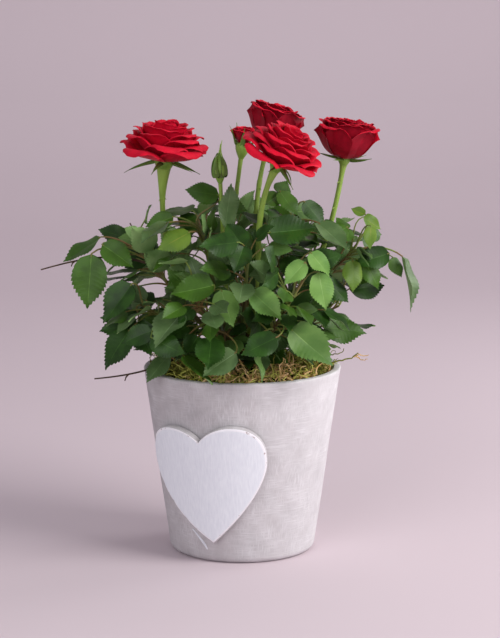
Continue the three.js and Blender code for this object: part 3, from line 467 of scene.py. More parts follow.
def bloom_box(name):
    radius, tall = BLOOM_ROOM[name]
    _, up, side = bloom_frame(name)
    centre = vec(*CANES[name]["tip"]) + up * (tall / 2 + BLOOM_BOX_LIFT)
    half = (tall / 2, radius * BLOOM_BOX_SHARE, radius * BLOOM_BOX_SHARE)
    return slanted_box(centre, (up, side, cross(up, side)), half)


class Crown:
    """The crown: first the leaves that give it its outline, then seeded ones along every shoot, then
    finer ones between them. A leaf that would touch another limb, leaf or bloom is left out."""

    def __init__(self):
        self.room = TakenRoom()
        self.numbers = {name: i for i, name in enumerate([*CANES, *SHOOTS])}
        self.canes = {name: limb_path(cane) for name, cane in CANES.items()}
        self.shoots = {name: limb_path(shoot) for name, shoot in SHOOTS.items()}
        self.leaves = {name: [] for name in SHOOTS}
        for name, cane in CANES.items():
            limb = rods(self.canes[name], 0, 1, CANE_BOXES, cane["foot"] + LIMB_GAP)
            self.room.take(self.numbers[name], False, limb + [bloom_box(name)])
        for name, path in self.shoots.items():
            bough = rods(path, 0, SHOOT_ENTRY, BOUGH_BOXES, BOUGH_FOOT + LIMB_GAP)
            stem = rods(path, SHOOT_ENTRY, 1, STEM_BOXES, STEM_ROOM)
            self.room.take(self.numbers[name], False, bough + stem)

    def settle(self, name, made, tone):
        """Adds a leaf and takes its room, if nothing is in its way."""
        if not above_pot(made):
            return False
        own = self.numbers[name]
        blades = [box for blade in made["blades"] for box in blade["boxes"]]
        if any(self.room.touched(box) for box in blades):
            return False
        if any(self.room.touched(box, own) for box in made["stalk"]):
            return False
        self.room.take(own, True, blades)
        self.room.take(own, False, made["stalk"])
        self.leaves[name].append(dict(made, tone=tone))
        return True

    def settle_named(self, name, row):
        """Adds a leaf of the outline, moved a little or with fewer side pairs where it has to be."""
        at, end, heads, faces, long, most, tone = row
        path = self.shoots[name]
        t = SHOOT_ENTRY + (1 - SHOOT_ENTRY) * at
        along = toward(*heads)
        normal = across(along, toward(faces, FACE_RISE))
        for pairs in range(most, -1, -1):
            for nudge in NUDGES:
                made = leaf(point(path, t), way(path, t), vec(*end) + vec(*nudge), along, normal, long, pairs)
                if self.settle(name, made, tone):
                    return

    def fill(self, name, path, seed, count, habit, first, room):
        """Adds seeded leaves along a shoot, each after as many attempts as it is given."""
        draw = seeded(seed)
        tones = random.Random(seed)
        for i in range(count):
            tone = tones.choice(TONES)
            for attempt in range(ATTEMPTS):
                made = drawn_leaf(path, draw, i, attempt, count, habit, first, room)
                if under_crown(made) and leaves_gaps_open(made) and self.settle(name, made, tone):
                    break

    def grow(self):
        for name, shoot in SHOOTS.items():
            for row in shoot["leaves"]:
                self.settle_named(name, row)
        for name, shoot in SHOOTS.items():
            self.fill(name, self.shoots[name], shoot["seed"], shoot["fill"], SEEDED, FILL_FROM, BLADE_ROOM)
        for name, shoot in SHOOTS.items():
            seed = shoot["seed"] + FINER_SEED
            self.fill(name, self.shoots[name], seed, FINER_COUNT, FINER, FINER_FROM, FINER_ROOM)
        return self


def drawn_leaf(path, draw, i, attempt, count, habit, first, room):
    """A seeded leaf of a shoot; late attempts at the same leaf have fewer side pairs."""
    share = (i + 0.7) / count
    t = first + (1 - first) * min(1, share + draw(-habit["slide"], habit["slide"]))
    root, stem = point(path, t), way(path, t)
    spin_by = GOLDEN_ANGLE * (i + attempt * habit["retry"]) + draw(-habit["swing"], habit["swing"])
    spin = turned_about(across(stem, vec(0.2, 0.1, 1)), stem, spin_by)
    opened = math.radians(draw(*habit["open"]))
    leaving = stem * math.cos(opened) + spin * math.sin(opened)
    go = unit(leaving + outward(root) * habit["outward"] + vec(0, 0, habit["lift"]))
    end = root + go * draw(*habit["stalk"])
    along = unit(go + outward(end) * habit["spread"] - vec(0, 0, draw(*habit["hang"])))
    up = across(along, outward(end) * habit["face_out"] + vec(0, 0, habit["face_up"]))
    normal = turned_about(up, along, draw(-habit["roll"], habit["roll"]))
    long = draw(*habit["long"]) + habit["longer"] * share
    wanted = 2 if draw(0, 1) < habit["two_pairs"] else 1
    most = 0 if attempt > NO_PAIR_AFTER else 1 if attempt > ONE_PAIR_AFTER else 2
    return leaf(root, stem, end, along, normal, long, min(wanted, most), room)


# Meshes
class Skin:
    """Points and faces of one piece, gathered shape by shape, each face with its material's place."""

    def __init__(self):
        self.points, self.faces, self.looks = [], [], []
        self.count = 0

    def add(self, points, faces, look):
        """Adds a shape: faces are rows of equal length that count the shape's own points."""
        points, faces = np.asarray(points, float), np.asarray(faces, int)
        self.points.append(points)
        self.faces.append(faces + self.count)
        self.looks.append(np.broadcast_to(np.asarray(look, int), len(faces)))
        self.count += len(points)

    def close_ends(self, rows, sides, look, inward=False):
        """Closes both ends of the round net added last; its last two points are the ends' middles."""
        near = np.arange(sides)
        after = (near + 1) % sides
        last = (rows - 1) * sides
        middle = rows * sides
        caps = np.concatenate([
            np.stack([after, near, np.full(sides, middle)], axis=1),
            np.stack([last + near, last + after, np.full(sides, middle + 1)], axis=1)])
        if inward:
            caps = caps[:, ::-1]
        self.faces.append(caps + self.count - (rows * sides + 2))
        self.looks.append(np.full(len(caps), look))

    def piece(self, name, materials, sharp=60):
        points = np.concatenate(self.points) * MM
        rows = [row for faces in self.faces for row in faces.tolist()]
        mesh = bpy.data.meshes.new(name)
        mesh.from_pydata(points.tolist(), [], rows)
        for material in materials:
            mesh.materials.append(material)
        mesh.polygons.foreach_set("material_index", np.concatenate(self.looks).astype(np.int32))
        mesh.polygons.foreach_set("use_smooth", np.ones(len(rows), bool))
        mesh.set_sharp_from_angle(angle=math.radians(sharp))
        mesh.update()
        made = bpy.data.objects.new(name, mesh)
        bpy.context.scene.collection.objects.link(made)
        return made


def grid_faces(rows, columns, closed=False):
    """Four-cornered faces of a net of rows and columns, joined round from last column to first if closed."""
    i, k = np.meshgrid(np.arange(rows - 1), np.arange(columns if closed else columns - 1), indexing="ij")
    a = (i * columns + k).ravel()
    b = (i * columns + (k + 1) % columns).ravel()
    return np.stack([a, b, b + columns, a + columns], axis=1)


def lens_faces(rows, columns):
    """Faces of two sheets that share their rim: the upper ones, the lower ones, and the lower sheet's own
    places. Both sheets are cut along the same diagonals, so that neither pokes through the other."""
    a, b, c, d = grid_faces(rows, columns).T
    upper = np.concatenate([np.stack([a, b, c], axis=1), np.stack([a, c, d], axis=1)])
    numbers = np.arange(rows * columns).reshape(rows, columns)
    inner = numbers[1:-1, 1:-1].copy()
    numbers[1:-1, 1:-1] = rows * columns + np.arange(inner.size).reshape(inner.shape)
    lower = numbers.ravel()[upper][:, ::-1]
    return upper, lower, inner.ravel()


def tube(skin, centres, radii, sides, look, bumps=None):
    """A closed tube along centres; bumps, where given, are added to the radius at each place."""
    centres = np.asarray(centres, float)
    ways = np.gradient(centres, axis=0)
    ways /= np.linalg.norm(ways, axis=1)[:, None]
    side = vec(0, 0, 1) if abs(ways[0][2]) < 0.9 else vec(1, 0, 0)
    turns = 2 * np.pi * np.arange(sides) / sides
    rings = []
    for i, (centre, along) in enumerate(zip(centres, ways)):
        side = across(along, side)
        other = cross(along, side)
        reach = radii[i] + (bumps[i] if bumps is not None else 0)
        spokes = np.outer(np.cos(turns), side) + np.outer(np.sin(turns), other)
        rings.append(centre + spokes * np.reshape(reach, (-1, 1)))
    points = np.concatenate([*rings, centres[:1], centres[-1:]])
    skin.add(points, grid_faces(len(centres), sides, closed=True), look)
    skin.close_ends(len(centres), sides, look)


def path_points(path, start, end, rows):
    return np.array([point(path, t) for t in np.linspace(start, end, rows)])


# Colour and nodes
def linear(hex_colour):
    """An sRGB hex value as a linear colour."""
    out = []
    for i in (1, 3, 5):
        v = int(hex_colour[i:i + 2], 16) / 255
        out.append(v / 12.92 if v <= 0.04045 else ((v + 0.055) / 1.055) ** 2.4)
    return (*out, 1.0)


def add_node(tree, kind, settings=None, inputs=None):
    """Adds a node with its settings; an input is a value or another node's socket."""
    made = tree.nodes.new(kind)
    for name, value in (settings or {}).items():
        setattr(made, name, value)
    for name, value in (inputs or {}).items():
        if isinstance(value, bpy.types.NodeSocket):
            tree.links.new(value, made.inputs[name])
        else:
            made.inputs[name].default_value = value
    return made


def new_finish(name, roughness, settings):
    """A material with its shader's plain values set; returns it, its tree and its shader."""
    material = bpy.data.materials.new(name)
    material.use_nodes = True
    tree = material.node_tree
    shader = tree.nodes["Principled BSDF"]
    shader.inputs["Roughness"].default_value = roughness
    for socket, value in settings.items():
        shader.inputs[socket].default_value = value
    return material, tree, shader


def place_of(tree, stretch=(1, 1, 1)):
    """The place on the object in metres, stretched along its axes."""
    place = add_node(tree, "ShaderNodeTexCoord").outputs["Object"]
    if stretch == (1, 1, 1):
        return place
    stretched = add_node(tree, "ShaderNodeMapping", {}, {"Vector": place, "Scale": stretch})
    return stretched.outputs["Vector"]


def blotches(tree, place, grain, detail=3.0, low=0.4, high=0.6):
    """Soft spots of a real size in millimetres, as a share from 0 to 1."""
    noise = add_node(tree, "ShaderNodeTexNoise", {},
                     {"Vector": place, "Scale": 1 / (grain * MM), "Detail": detail})
    spread = add_node(tree, "ShaderNodeMapRange", {},
                      {"Value": noise.outputs["Fac"], "From Min": low, "From Max": high})
    return spread.outputs["Result"]


# A colour mix has its share at socket 0, its two colours at 6 and 7, and its result at 2.
def tinted(tree, share, first, second, shader):
    """A base colour that runs from one hex value to another by a share."""
    colours = {0: share, 6: linear(first), 7: linear(second)}
    colour = add_node(tree, "ShaderNodeMix", {"data_type": "RGBA"}, colours).outputs[2]
    tree.links.new(colour, shader.inputs["Base Color"])


def raised(tree, height, depth, shader):
    """Relief that is depth millimetres deep, from a share."""
    bump = add_node(tree, "ShaderNodeBump", {}, {"Height": height, "Distance": depth * MM, "Strength": 1.0})
    tree.links.new(bump.outputs["Normal"], shader.inputs["Normal"])


# Finishes
def leaf_skin(name, main, deep, roughness):
    """Living rose leaf, grown: a waxy upper skin that gives the eye a soft broad gleam."""
    material, tree, shader = new_finish(name, roughness, {"IOR": 1.42, "Specular IOR Level": 0.33})
    place = place_of(tree)
    tinted(tree, blotches(tree, place, 14), main, deep, shader)
    # Cells are about 0.05 mm; they are drawn as 0.6 mm so that they show.
    raised(tree, blotches(tree, place, 0.6, 2.0, 0.3, 0.7), 0.02, shader)
    return material


def petal_velvet(name, main, deep, sheen):
    """Living rose petal, grown: velvety, so its edges catch a soft bright sheen."""
    settings = {"IOR": 1.4, "Specular IOR Level": 0.18, "Sheen Weight": sheen, "Sheen Roughness": 0.35,
                "Sheen Tint": linear("#ff5f72")}
    material, tree, shader = new_finish(name, 0.55, settings)
    tinted(tree, blotches(tree, place_of(tree), 6, 3.0, 0.3, 0.7), main, deep, shader)
    # Fine creases that run up a petal, about 0.8 mm apart
    raised(tree, blotches(tree, place_of(tree, (1, 1, 0.25)), 0.8, 2.0, 0.3, 0.7), 0.05, shader)
    return material


def green_skin(name, main, other, grain, roughness):
    """Young rose stem, grown: smooth green skin with a faint gleam and redder or browner patches."""
    material, tree, shader = new_finish(name, roughness, {"IOR": 1.4, "Specular IOR Level": 0.4})
    place = place_of(tree, (1, 1, 0.3))
    tinted(tree, blotches(tree, place, grain), main, other, shader)
    raised(tree, blotches(tree, place, 0.9, 2.0, 0.3, 0.7), 0.04, shader)
    return material


def stock_bark():
    """Old rose stock, grown: dull brown bark that splits along the stem."""
    material, tree, shader = new_finish("stock_bark", 0.85, {"IOR": 1.4, "Specular IOR Level": 0.2})
    place = place_of(tree, (1, 1, 0.2))
    tinted(tree, blotches(tree, place, 2.5), "#6b5a36", "#3f3120", shader)
    raised(tree, blotches(tree, place, 1.2, 4.0, 0.3, 0.7), 0.3, shader)
    return material


def moss_fibre(name, main, other):
    """Dried sheet moss: thin dull fibres, each lot of one tint."""
    material, tree, shader = new_finish(name, 0.9, {"IOR": 1.4, "Specular IOR Level": 0.15})
    tinted(tree, blotches(tree, place_of(tree), 5), main, other, shader)
    return material


def potting_soil():
    """Peat-based potting soil, loose and damp: dark crumbs that reflect almost nothing."""
    material, tree, shader = new_finish("potting_soil", 1.0, {"IOR": 1.33, "Specular IOR Level": 0.1})
    place = place_of(tree)
    tinted(tree, blotches(tree, place, 3), "#2c2018", "#46352a", shader)
    raised(tree, blotches(tree, place, 2, 4.0, 0.3, 0.7), 0.6, shader)
    return material


def brush_strokes(tree, stretch, grain, patch_grain):
    """Dry-brushed strokes that only take in patches: the share of wash at each place."""
    strokes = blotches(tree, place_of(tree, stretch), grain, 4.0, 0.42, 0.66)
    patches = blotches(tree, place_of(tree), patch_grain, 2.0, 0.25, 0.7)
    taken = add_node(tree, "ShaderNodeMath", {"operation": "MULTIPLY"}, {0: strokes, 1: patches})
    return taken.outputs["Value"]


def washed_cement():
    """Cast cement with a whitewash dry-brushed over it: matte grey-pink with chalky white strokes."""
    material, tree, shader = new_finish("washed_cement", 0.88, {"IOR": 1.5, "Specular IOR Level": 0.3})
    place = place_of(tree)
    mottle = blotches(tree, place, 16, 5.0, 0.35, 0.65)
    greys = {0: mottle, 6: linear("#afa9ab"), 7: linear("#a5a0a2")}
    cement = add_node(tree, "ShaderNodeMix", {"data_type": "RGBA"}, greys).outputs[2]
    # Bristles leave lines about 0.2 mm wide; they are drawn as 0.8 mm so that they show.
    level = brush_strokes(tree, (0.07, 0.07, 1), 0.8, 24)
    upright = brush_strokes(tree, (1, 1, 0.05), 0.85, 28)
    strokes = add_node(tree, "ShaderNodeMath", {"operation": "MAXIMUM"}, {0: level, 1: upright})
    strokes = strokes.outputs["Value"]
    # Towards the pot's right side the wash is painted whiter: painted light from the key lamp on that side.
    sideways = add_node(tree, "ShaderNodeSeparateXYZ", {}, {"Vector": place}).outputs["X"]
    painted_light_to_right = {"Value": sideways, "From Min": -0.02, "From Max": 0.07, "To Min": 0.04, "To Max": 0.5}
    haze_and_painted_light = add_node(tree, "ShaderNodeMapRange", {}, painted_light_to_right).outputs["Result"]
    # Random patches of thinner and thicker wash are added to the painted light from the right.
    haze_and_painted_light = add_node(tree, "ShaderNodeMath", {"operation": "MULTIPLY_ADD"},
                    {0: blotches(tree, place, 12, 5.0, 0.3, 0.7), 1: 0.15, 2: haze_and_painted_light}).outputs["Value"]
    wash = add_node(tree, "ShaderNodeMath", {"operation": "MULTIPLY_ADD", "use_clamp": True},
                    {0: strokes, 1: 0.3, 2: haze_and_painted_light}).outputs["Value"]
    colours = {0: wash, 6: cement, 7: linear("#e9e8eb")}
    colour = add_node(tree, "ShaderNodeMix", {"data_type": "RGBA"}, colours).outputs[2]
    tree.links.new(colour, shader.inputs["Base Color"])
    raised(tree, strokes, 0.05, shader)
    return material


def heart_wash():
    """The same cement under a thick coat of whitewash: chalky white with faint brush marks."""
    material, tree, shader = new_finish("heart_wash", 0.7, {"IOR": 1.5, "Specular IOR Level": 0.35})
    strokes = blotches(tree, place_of(tree, (1, 1, 0.1)), 1.2, 4.0, 0.3, 0.7)
    tinted(tree, strokes, "#e8ebf1", "#dee1e9", shader)
    raised(tree, strokes, 0.05, shader)
    return material


def worn_edge():
    """Bare cement showing where the wash has rubbed off the heart's edge."""
    material, tree, shader = new_finish("worn_edge", 0.9, {"IOR": 1.5, "Specular IOR Level": 0.25})
    worn = blotches(tree, place_of(tree), 3.0, 4.0, 0.6, 0.68)
    tinted(tree, worn, "#efedf2", "#b1a3a2", shader)
    raised(tree, worn, -0.15, shader)
    return material


LEAF_TONES = {
    "dark": ("#2c4f16", "#1f3b0f", 0.42),
    "mid": ("#42661f", "#345418", 0.42),
    "bright": ("#42671d", "#375717", 0.42),
    "pale": ("#729a4b", "#608940", 0.5),
    "soft": ("#5d7e3d", "#4e7033", 0.44),
    "blue": ("#5a7446", "#496338", 0.38),
    "young": ("#64812a", "#547322", 0.42),
}
RIB_COLOURS = {"dark": "#46692f", "mid": "#5b8038", "bright": "#6b9140", "pale": "#8fb06a", "soft": "#7c9c57",
               "blue": "#7c986a", "young": "#9a9040"}


def make_leaf_finishes():
    """For each tone: upper side, underside and midrib."""
    finishes = {}
    for tone, (main, deep, roughness) in LEAF_TONES.items():
        finishes[tone] = (leaf_skin(f"leaf_{tone}", main, deep, roughness),
                          leaf_skin(f"leaf_{tone}_under", "#7f9f62", "#6d9152", 0.6),
                          leaf_skin(f"leaf_{tone}_rib", RIB_COLOURS[tone], main, 0.5))
    return finishes


# Leaves: three rows of places to a tooth, for the notch, its slope and the point
TEETH = 12
TOOTH_OUT = (-0.5, 0.15, 0.5)
TOOTH_AHEAD = (0.0, 0.5, 1.1)
VEIN_RISE = (-1.0, 0.3, 0.7)
BLADE_COLUMNS = np.array((-1, -0.6, -0.022, 0.022, 0.6, 1))
BLADE_ROWS = 3 * TEETH + 1
TOOTH_DEEP = 0.028
VEIN_DEEP = 0.003
BLADE_THICK = 0.35
BLADE_BELLY = 0.42
RIB_SHORT = 5
BLADE_FACES = lens_faces(BLADE_ROWS, len(BLADE_COLUMNS))


def blade_breadth(t):
    """Half the width of a blade as a share of its greatest: round at the foot, drawn out to a point."""
    foot = np.sqrt(np.clip(1 - ((BLADE_BELLY - t) / BLADE_BELLY) ** 2, 0, 1)) ** 0.9
    point_share = np.clip((t - BLADE_BELLY) / (1 - BLADE_BELLY), 0, 1)
    tip = np.cos(np.pi / 2 * point_share ** 1.02) ** 1.28
    return np.where(t < BLADE_BELLY, foot, tip)


def by_row(pattern):
    return np.array([pattern[i % 3] for i in range(BLADE_ROWS)])[:, None]


def blade_points(blade, dice):
    """A toothed blade folded along its midrib, its skin raised between the side veins."""
    long = blade["long"]
    s = np.linspace(0, 1, BLADE_ROWS)[:, None]
    v = BLADE_COLUMNS[None, :]
    reach = np.abs(v)
    rim = np.clip(reach * 4 - 3, 0, 1)
    ends = np.sin(np.pi * s) ** 0.5
    slant = 0.17 * ends * (1 - s)
    breadth = blade_breadth(np.clip(s + slant, 0, 1)) * long * LEAFLET_WIDTH / 2
    tooth = TOOTH_DEEP * long * ends * by_row(TOOTH_OUT) * rim
    x = long * (s + slant * reach + ends * by_row(TOOTH_AHEAD) * rim / BLADE_ROWS)
    y = np.sign(v) * (reach * breadth + tooth)
    fold = math.tan(math.radians(dice.uniform(5, 30)))
    z = fold * (np.abs(y) - 0.25 * long * LEAFLET_WIDTH)
    z = z - dice.uniform(0.2, 1.3) * y * y / long
    crest = np.where(reach > 0.9, 0.15, np.where(reach > 0.3, 1.0, 0.1))
    z = z + VEIN_DEEP * long * by_row(VEIN_RISE) * crest * ends
    z = z - dice.uniform(-0.05, 0.28) * long * np.clip(s - 0.25, 0, 1) ** 2
    z = z + 0.026 * long * np.sin(2 * np.pi * (1.5 * s + dice.random())) * reach ** 2
    twist = dice.uniform(-0.5, 0.5) * (s - 0.2)
    y, z = y * np.cos(twist) - z * np.sin(twist), y * np.sin(twist) + z * np.cos(twist)
    z = z - z[0, len(BLADE_COLUMNS) // 2] * (1 - s) ** 4
    local = np.stack(np.broadcast_arrays(x, y, z), axis=-1).reshape(-1, 3)
    axes = np.stack([blade["along"], blade["side"], blade["face"]])
    upper = blade["base"] + local @ axes
    _, _, inner = BLADE_FACES
    return np.concatenate([upper, upper[inner] - blade["face"] * BLADE_THICK])


def blade_looks():
    """Places of the materials: upper side 0, underside 1, midrib 2, which ends short of the tip."""
    upper = np.zeros((BLADE_ROWS - 1, len(BLADE_COLUMNS) - 1), int)
    upper[:-RIB_SHORT, len(BLADE_COLUMNS) // 2 - 1] = 2
    upper = np.concatenate([upper.ravel(), upper.ravel()])
    return np.concatenate([upper, np.ones(upper.size, int)])


BLADE_LOOKS = blade_looks()


def leaf_piece(name, leaves, finishes):
    """All leaflets of one mass, each leaf in its own tone."""
    skin = Skin()
    dice = random.Random(name)
    tones = sorted({made["tone"] for made in leaves})
    upper, lower, _ = BLADE_FACES
    faces = np.concatenate([upper, lower])
    for made in leaves:
        for blade in made["blades"]:
            skin.add(blade_points(blade, dice), faces, BLADE_LOOKS + 3 * tones.index(made["tone"]))
    return skin.piece(f"leaves_{name}", [finish for tone in tones for finish in finishes[tone]])


STALK_SIDES = 5
STALK_ROWS = 9
STEM_SIDES = 8
STEM_ROWS = 26
TWIG_ROWS = 16

# Thin shoots without leaves that stand out of the crown: place on the shoot, end, and sag
BARE_TWIGS = {
    "left_upper": ((0.75, (-151, -12, 216), 0), (0.9, (-84, -10, 251), 0)),
    "left_lower": ((0.1, (-111, -24, 135), 0.5),),
}


def twig_piece(name, path, leaves, materials):
    """The stem of one mass from the end of its bough, the stalks of its leaves and its bare twigs."""
    skin = Skin()
    radii = np.linspace(BOUGH_NECK, SHOOT_POINT, STEM_ROWS)
    tube(skin, path_points(path, SHOOT_ENTRY, 1, STEM_ROWS), radii, STEM_SIDES, 0)
    for made in leaves:
        stout = 0.45 + 0.008 * made["long"]
        centres = path_points(made["path"], 0, 1, STALK_ROWS)
        tip = made["blades"][0]
        tail = [tip["base"] + tip["along"] * (tip["long"] * 0.06)]
        stalk_radii = np.linspace(stout * 1.25, stout * 0.7, STALK_ROWS + 1)
        tube(skin, np.concatenate([centres, tail]), stalk_radii, STALK_SIDES, 1)
    for at, end, sag in BARE_TWIGS.get(name, ()):
        t = SHOOT_ENTRY + (1 - SHOOT_ENTRY) * at
        root, end = point(path, t), vec(*end)
        along = unit(end - root)
        start_way = unit(way(path, t) + along) if sag == 0 else unit(along - vec(0, 0, sag))
        twig = curve(root, start_way, end, unit(along + vec(0, 0, sag - 0.25)))
        radii = np.linspace(1.0, 0.55, TWIG_ROWS)
        tube(skin, path_points(twig, 0, 1, TWIG_ROWS), radii, STALK_SIDES, 2)
        fork = point(twig, 0.7)
        spur = [fork, fork + along * 2 - vec(0, 0, 1.5), fork + along * 3 - vec(0, 0, 4)]
        tube(skin, spur, (0.7, 0.6, 0.4), STALK_SIDES, 2)
    return skin.piece(f"twigs_{name}", materials)


# Limbs with the relief of their bark. A thorn hooks down: how far it stands out, how far it drops,
# and its radius there
THORN_HOOK = ((0, 0, 0.75), (0.9, 0.2, 0.5), (1.7, 0.7, 0.25), (2.2, 1.5, 0.05))
THORN_SIDES = 6
NO_FLARE = (0, 10)
BUD_FLARE = (0.2, 10)
LIMB_SIDES = 14
LIMB_STEP = 2.2
JOINT_STEP = 38
JOINT_LONG = 1.6
CANE_THORNS = 9
BOUGH_THORNS = 2
BOUGH_SEED = 50


def limb_piece(name, path, start, end, foot, neck, material, flare, thorns, seed):
    """A tapering limb with slight ridges, joints where leaves stood, and hooked thorns. It may flare
    under a bloom: by how much, and over what length."""
    skin = Skin()
    dice = random.Random(seed)
    long = size(point(path, end) - point(path, start))
    rows = max(8, int(long / LIMB_STEP))
    share = np.linspace(0, 1, rows)
    radii = mix(foot, neck, share) + flare[0] * np.clip(1 - (1 - share) * long / flare[1], 0, 1) ** 1.6
    turns = 2 * np.pi * np.arange(LIMB_SIDES) / LIMB_SIDES
    phase = dice.uniform(0, 6)
    ridges = 0.05 * foot * np.sin(3 * turns[None, :] + 2 * share[:, None] + phase)
    ridges = ridges + 0.03 * foot * np.sin(7 * turns[None, :] - 17 * share[:, None] + phase)
    joints = [dice.uniform(0.1, 0.85) for _ in range(max(1, int(long / JOINT_STEP)))]
    for joint in joints:
        ridges = ridges + 0.16 * foot * np.exp(-((share[:, None] - joint) * long / JOINT_LONG) ** 2)
    centres = path_points(path, start, end, rows)
    tube(skin, centres, radii, LIMB_SIDES, 0, bumps=ridges)
    for _ in range(thorns):
        t = dice.uniform(0.1, 0.92)
        centre, along = point(path, mix(start, end, t)), way(path, mix(start, end, t))
        spoke = turned_about(across(along, vec(0.3, 0.2, 0.9)), along, dice.uniform(0, 360))
        root = centre + spoke * (mix(foot, neck, t) * 0.8)
        hook = [root + spoke * out - along * drop for out, drop, _ in THORN_HOOK]
        tube(skin, hook, [radius for _, _, radius in THORN_HOOK], THORN_SIDES, 0)
    return skin.piece(name, [material])


def stock_piece(material):
    """The short woody stem: knobbly, with grooves between the feet of the canes."""
    skin = Skin()
    rows, sides = 40, 28
    heights = np.linspace(SOIL_TOP + SEAT_GAP, STOCK_TOP, rows)
    share = np.linspace(0, 1, rows)
    turns = 2 * np.pi * np.arange(sides) / sides
    widened = STOCK_RADIUS - 0.2 * share + 1.2 * np.clip(1 - share * 3, 0, 1)
    radii = widened - 3.2 * np.clip((share - 0.93) / 0.07, 0, 1) ** 2
    ridges = 0.3 * np.sin(5 * turns[None, :] + 3 * share[:, None])
    ridges = ridges + 0.18 * np.sin(11 * turns[None, :] - 9 * share[:, None]) - 0.45
    centres = np.stack([np.zeros(rows), np.zeros(rows), heights], axis=1)
    tube(skin, centres, radii, sides, 0, bumps=ridges)
    return skin.piece("stock", [material])


# Blooms
PETAL_ROWS = 17
PETAL_ROLL_ROWS = 7
PETAL_COLUMNS = 15
PETAL_OUTSIDE, PETAL_INSIDE, PETAL_INNER = lens_faces(PETAL_ROWS, PETAL_COLUMNS)
PETAL_FACES = np.concatenate([PETAL_OUTSIDE, PETAL_INSIDE])
PETAL_LOOKS = np.repeat([0, 1], [len(PETAL_OUTSIDE), len(PETAL_INSIDE)])
PETAL_BREADTH = 28
PETAL_THICK = 0.4
HIP_TALL = 6


def petal_spine(habit, share, dice):
    """The middle line of a petal, as distance from the bloom's axis and height: it bowls out to its
    place in the dome, and then rolls back over a small round."""
    rim_out = mix(habit["core"], habit["reach"], share ** habit["spread"]) + dice.uniform(-0.8, 0.8)
    rim_high = mix(habit["crown"], habit["skirt"], share ** habit["fall"]) + dice.uniform(-0.8, 0.8)
    round_size = mix(1.6, habit["round"], share ** 0.8)
    leaving = math.radians(mix(28, habit["start"], share ** 0.7))
    arriving = math.radians(mix(habit["tight"], habit["open"], share ** 0.8) + dice.uniform(-5, 5))
    foot = vec(1.4 + 1.6 * share, HIP_TALL - 1.2 * share, 0)
    neck = vec(rim_out - round_size, rim_high - round_size * 0.4, 0)
    go, come = vec(math.sin(leaving), math.cos(leaving), 0), vec(math.sin(arriving), math.cos(arriving), 0)
    span = size(neck - foot) * 0.42
    bowl = np.array([point((foot, foot + go * span, neck - come * span, neck), t)
                     for t in np.linspace(0, 1, PETAL_ROWS - PETAL_ROLL_ROWS)])
    roll = math.radians(mix(habit["roll"][0], habit["roll"][1], share) + dice.uniform(-15, 15))
    rows = [bowl]
    place = neck
    for k in range(PETAL_ROLL_ROWS):
        lean = arriving + roll * (k + 0.5) / PETAL_ROLL_ROWS
        place = place + vec(math.sin(lean), math.cos(lean), 0) * (round_size * roll / PETAL_ROLL_ROWS)
        rows.append(place[None, :])
    return np.concatenate(rows)[:, :2]


def petal_points(place, up, side, habit, i, dice):
    """One petal bent round the bloom's axis, its rim and its upper sides rolled back to a point."""
    share = (i + 0.5) / habit["petals"]
    radial = turned_about(side, up, GOLDEN_ANGLE * i + dice.uniform(-14, 14))
    tangent = cross(up, radial)
    spine = petal_spine(habit, share, dice)
    steps = np.linalg.norm(np.diff(spine, axis=0), axis=1)
    run = np.concatenate([[0], np.cumsum(steps)])
    long = run[-1]
    v = np.linspace(-1, 1, PETAL_COLUMNS)[None, :]
    s = (run / long)[:, None]
    jag = np.array([dice.uniform(-1, 1) for _ in range(PETAL_COLUMNS)])[None, :] * 0.022
    drop = 0.26 * np.abs(v) ** 2.4 - 0.05 * np.exp(-(v / 0.16) ** 2)
    late = np.clip((s - 0.5) / 0.5, 0, 1)
    at = np.clip(s - (drop + jag * (1 - np.abs(v))) * late ** 1.5, 0, 1.0) * long
    away = np.interp(at, run, spine[:, 0])
    high = np.interp(at, run, spine[:, 1])
    slope_out = np.interp(at, run, np.gradient(spine[:, 0], run))
    slope_up = np.interp(at, run, np.gradient(spine[:, 1], run))
    breadth = habit["breadth"] * mix(0.75, 1.3, share) * PETAL_BREADTH
    half_wide = breadth / 2 * (0.18 + 0.82 * np.sin(np.pi / 2 * np.clip(s * 1.35, 0, 1)))
    bend = np.maximum(away, 4.0) * mix(1.0, 1.35, share) + 1.5 * share
    turn = np.clip(half_wide * v / bend, -1.6, 1.6)
    side_roll = np.clip((np.abs(v) - 0.52) / 0.48, 0, 1) ** 2 * s ** 2 * habit["curl"] * mix(0.25, 1, share)
    wave = np.sin(v * dice.uniform(2.5, 4.5) + dice.uniform(0, 6)) * dice.uniform(0.4, 1.1)
    crimp = np.sin(v * dice.uniform(9, 14) + dice.uniform(0, 6)) * 0.3
    push = side_roll + (wave + crimp) * s ** 3 * habit["ruffle"]
    out, rise = away + push * slope_up, high - push * slope_out
    centre = away - bend
    along_radial = centre + (bend + out - away) * np.cos(turn)
    along_side = (bend + out - away) * np.sin(turn)
    local = np.stack(np.broadcast_arrays(along_radial, along_side, rise), axis=-1).reshape(-1, 3)
    upper = place + local @ np.stack([radial, tangent, up])
    net = upper.reshape(PETAL_ROWS, PETAL_COLUMNS, 3)
    normal = np.cross(np.gradient(net, axis=0), np.gradient(net, axis=1)).reshape(-1, 3)
    normal /= np.maximum(np.linalg.norm(normal, axis=1), 1e-9)[:, None]
    return np.concatenate([upper, upper[PETAL_INNER] + normal[PETAL_INNER] * PETAL_THICK])


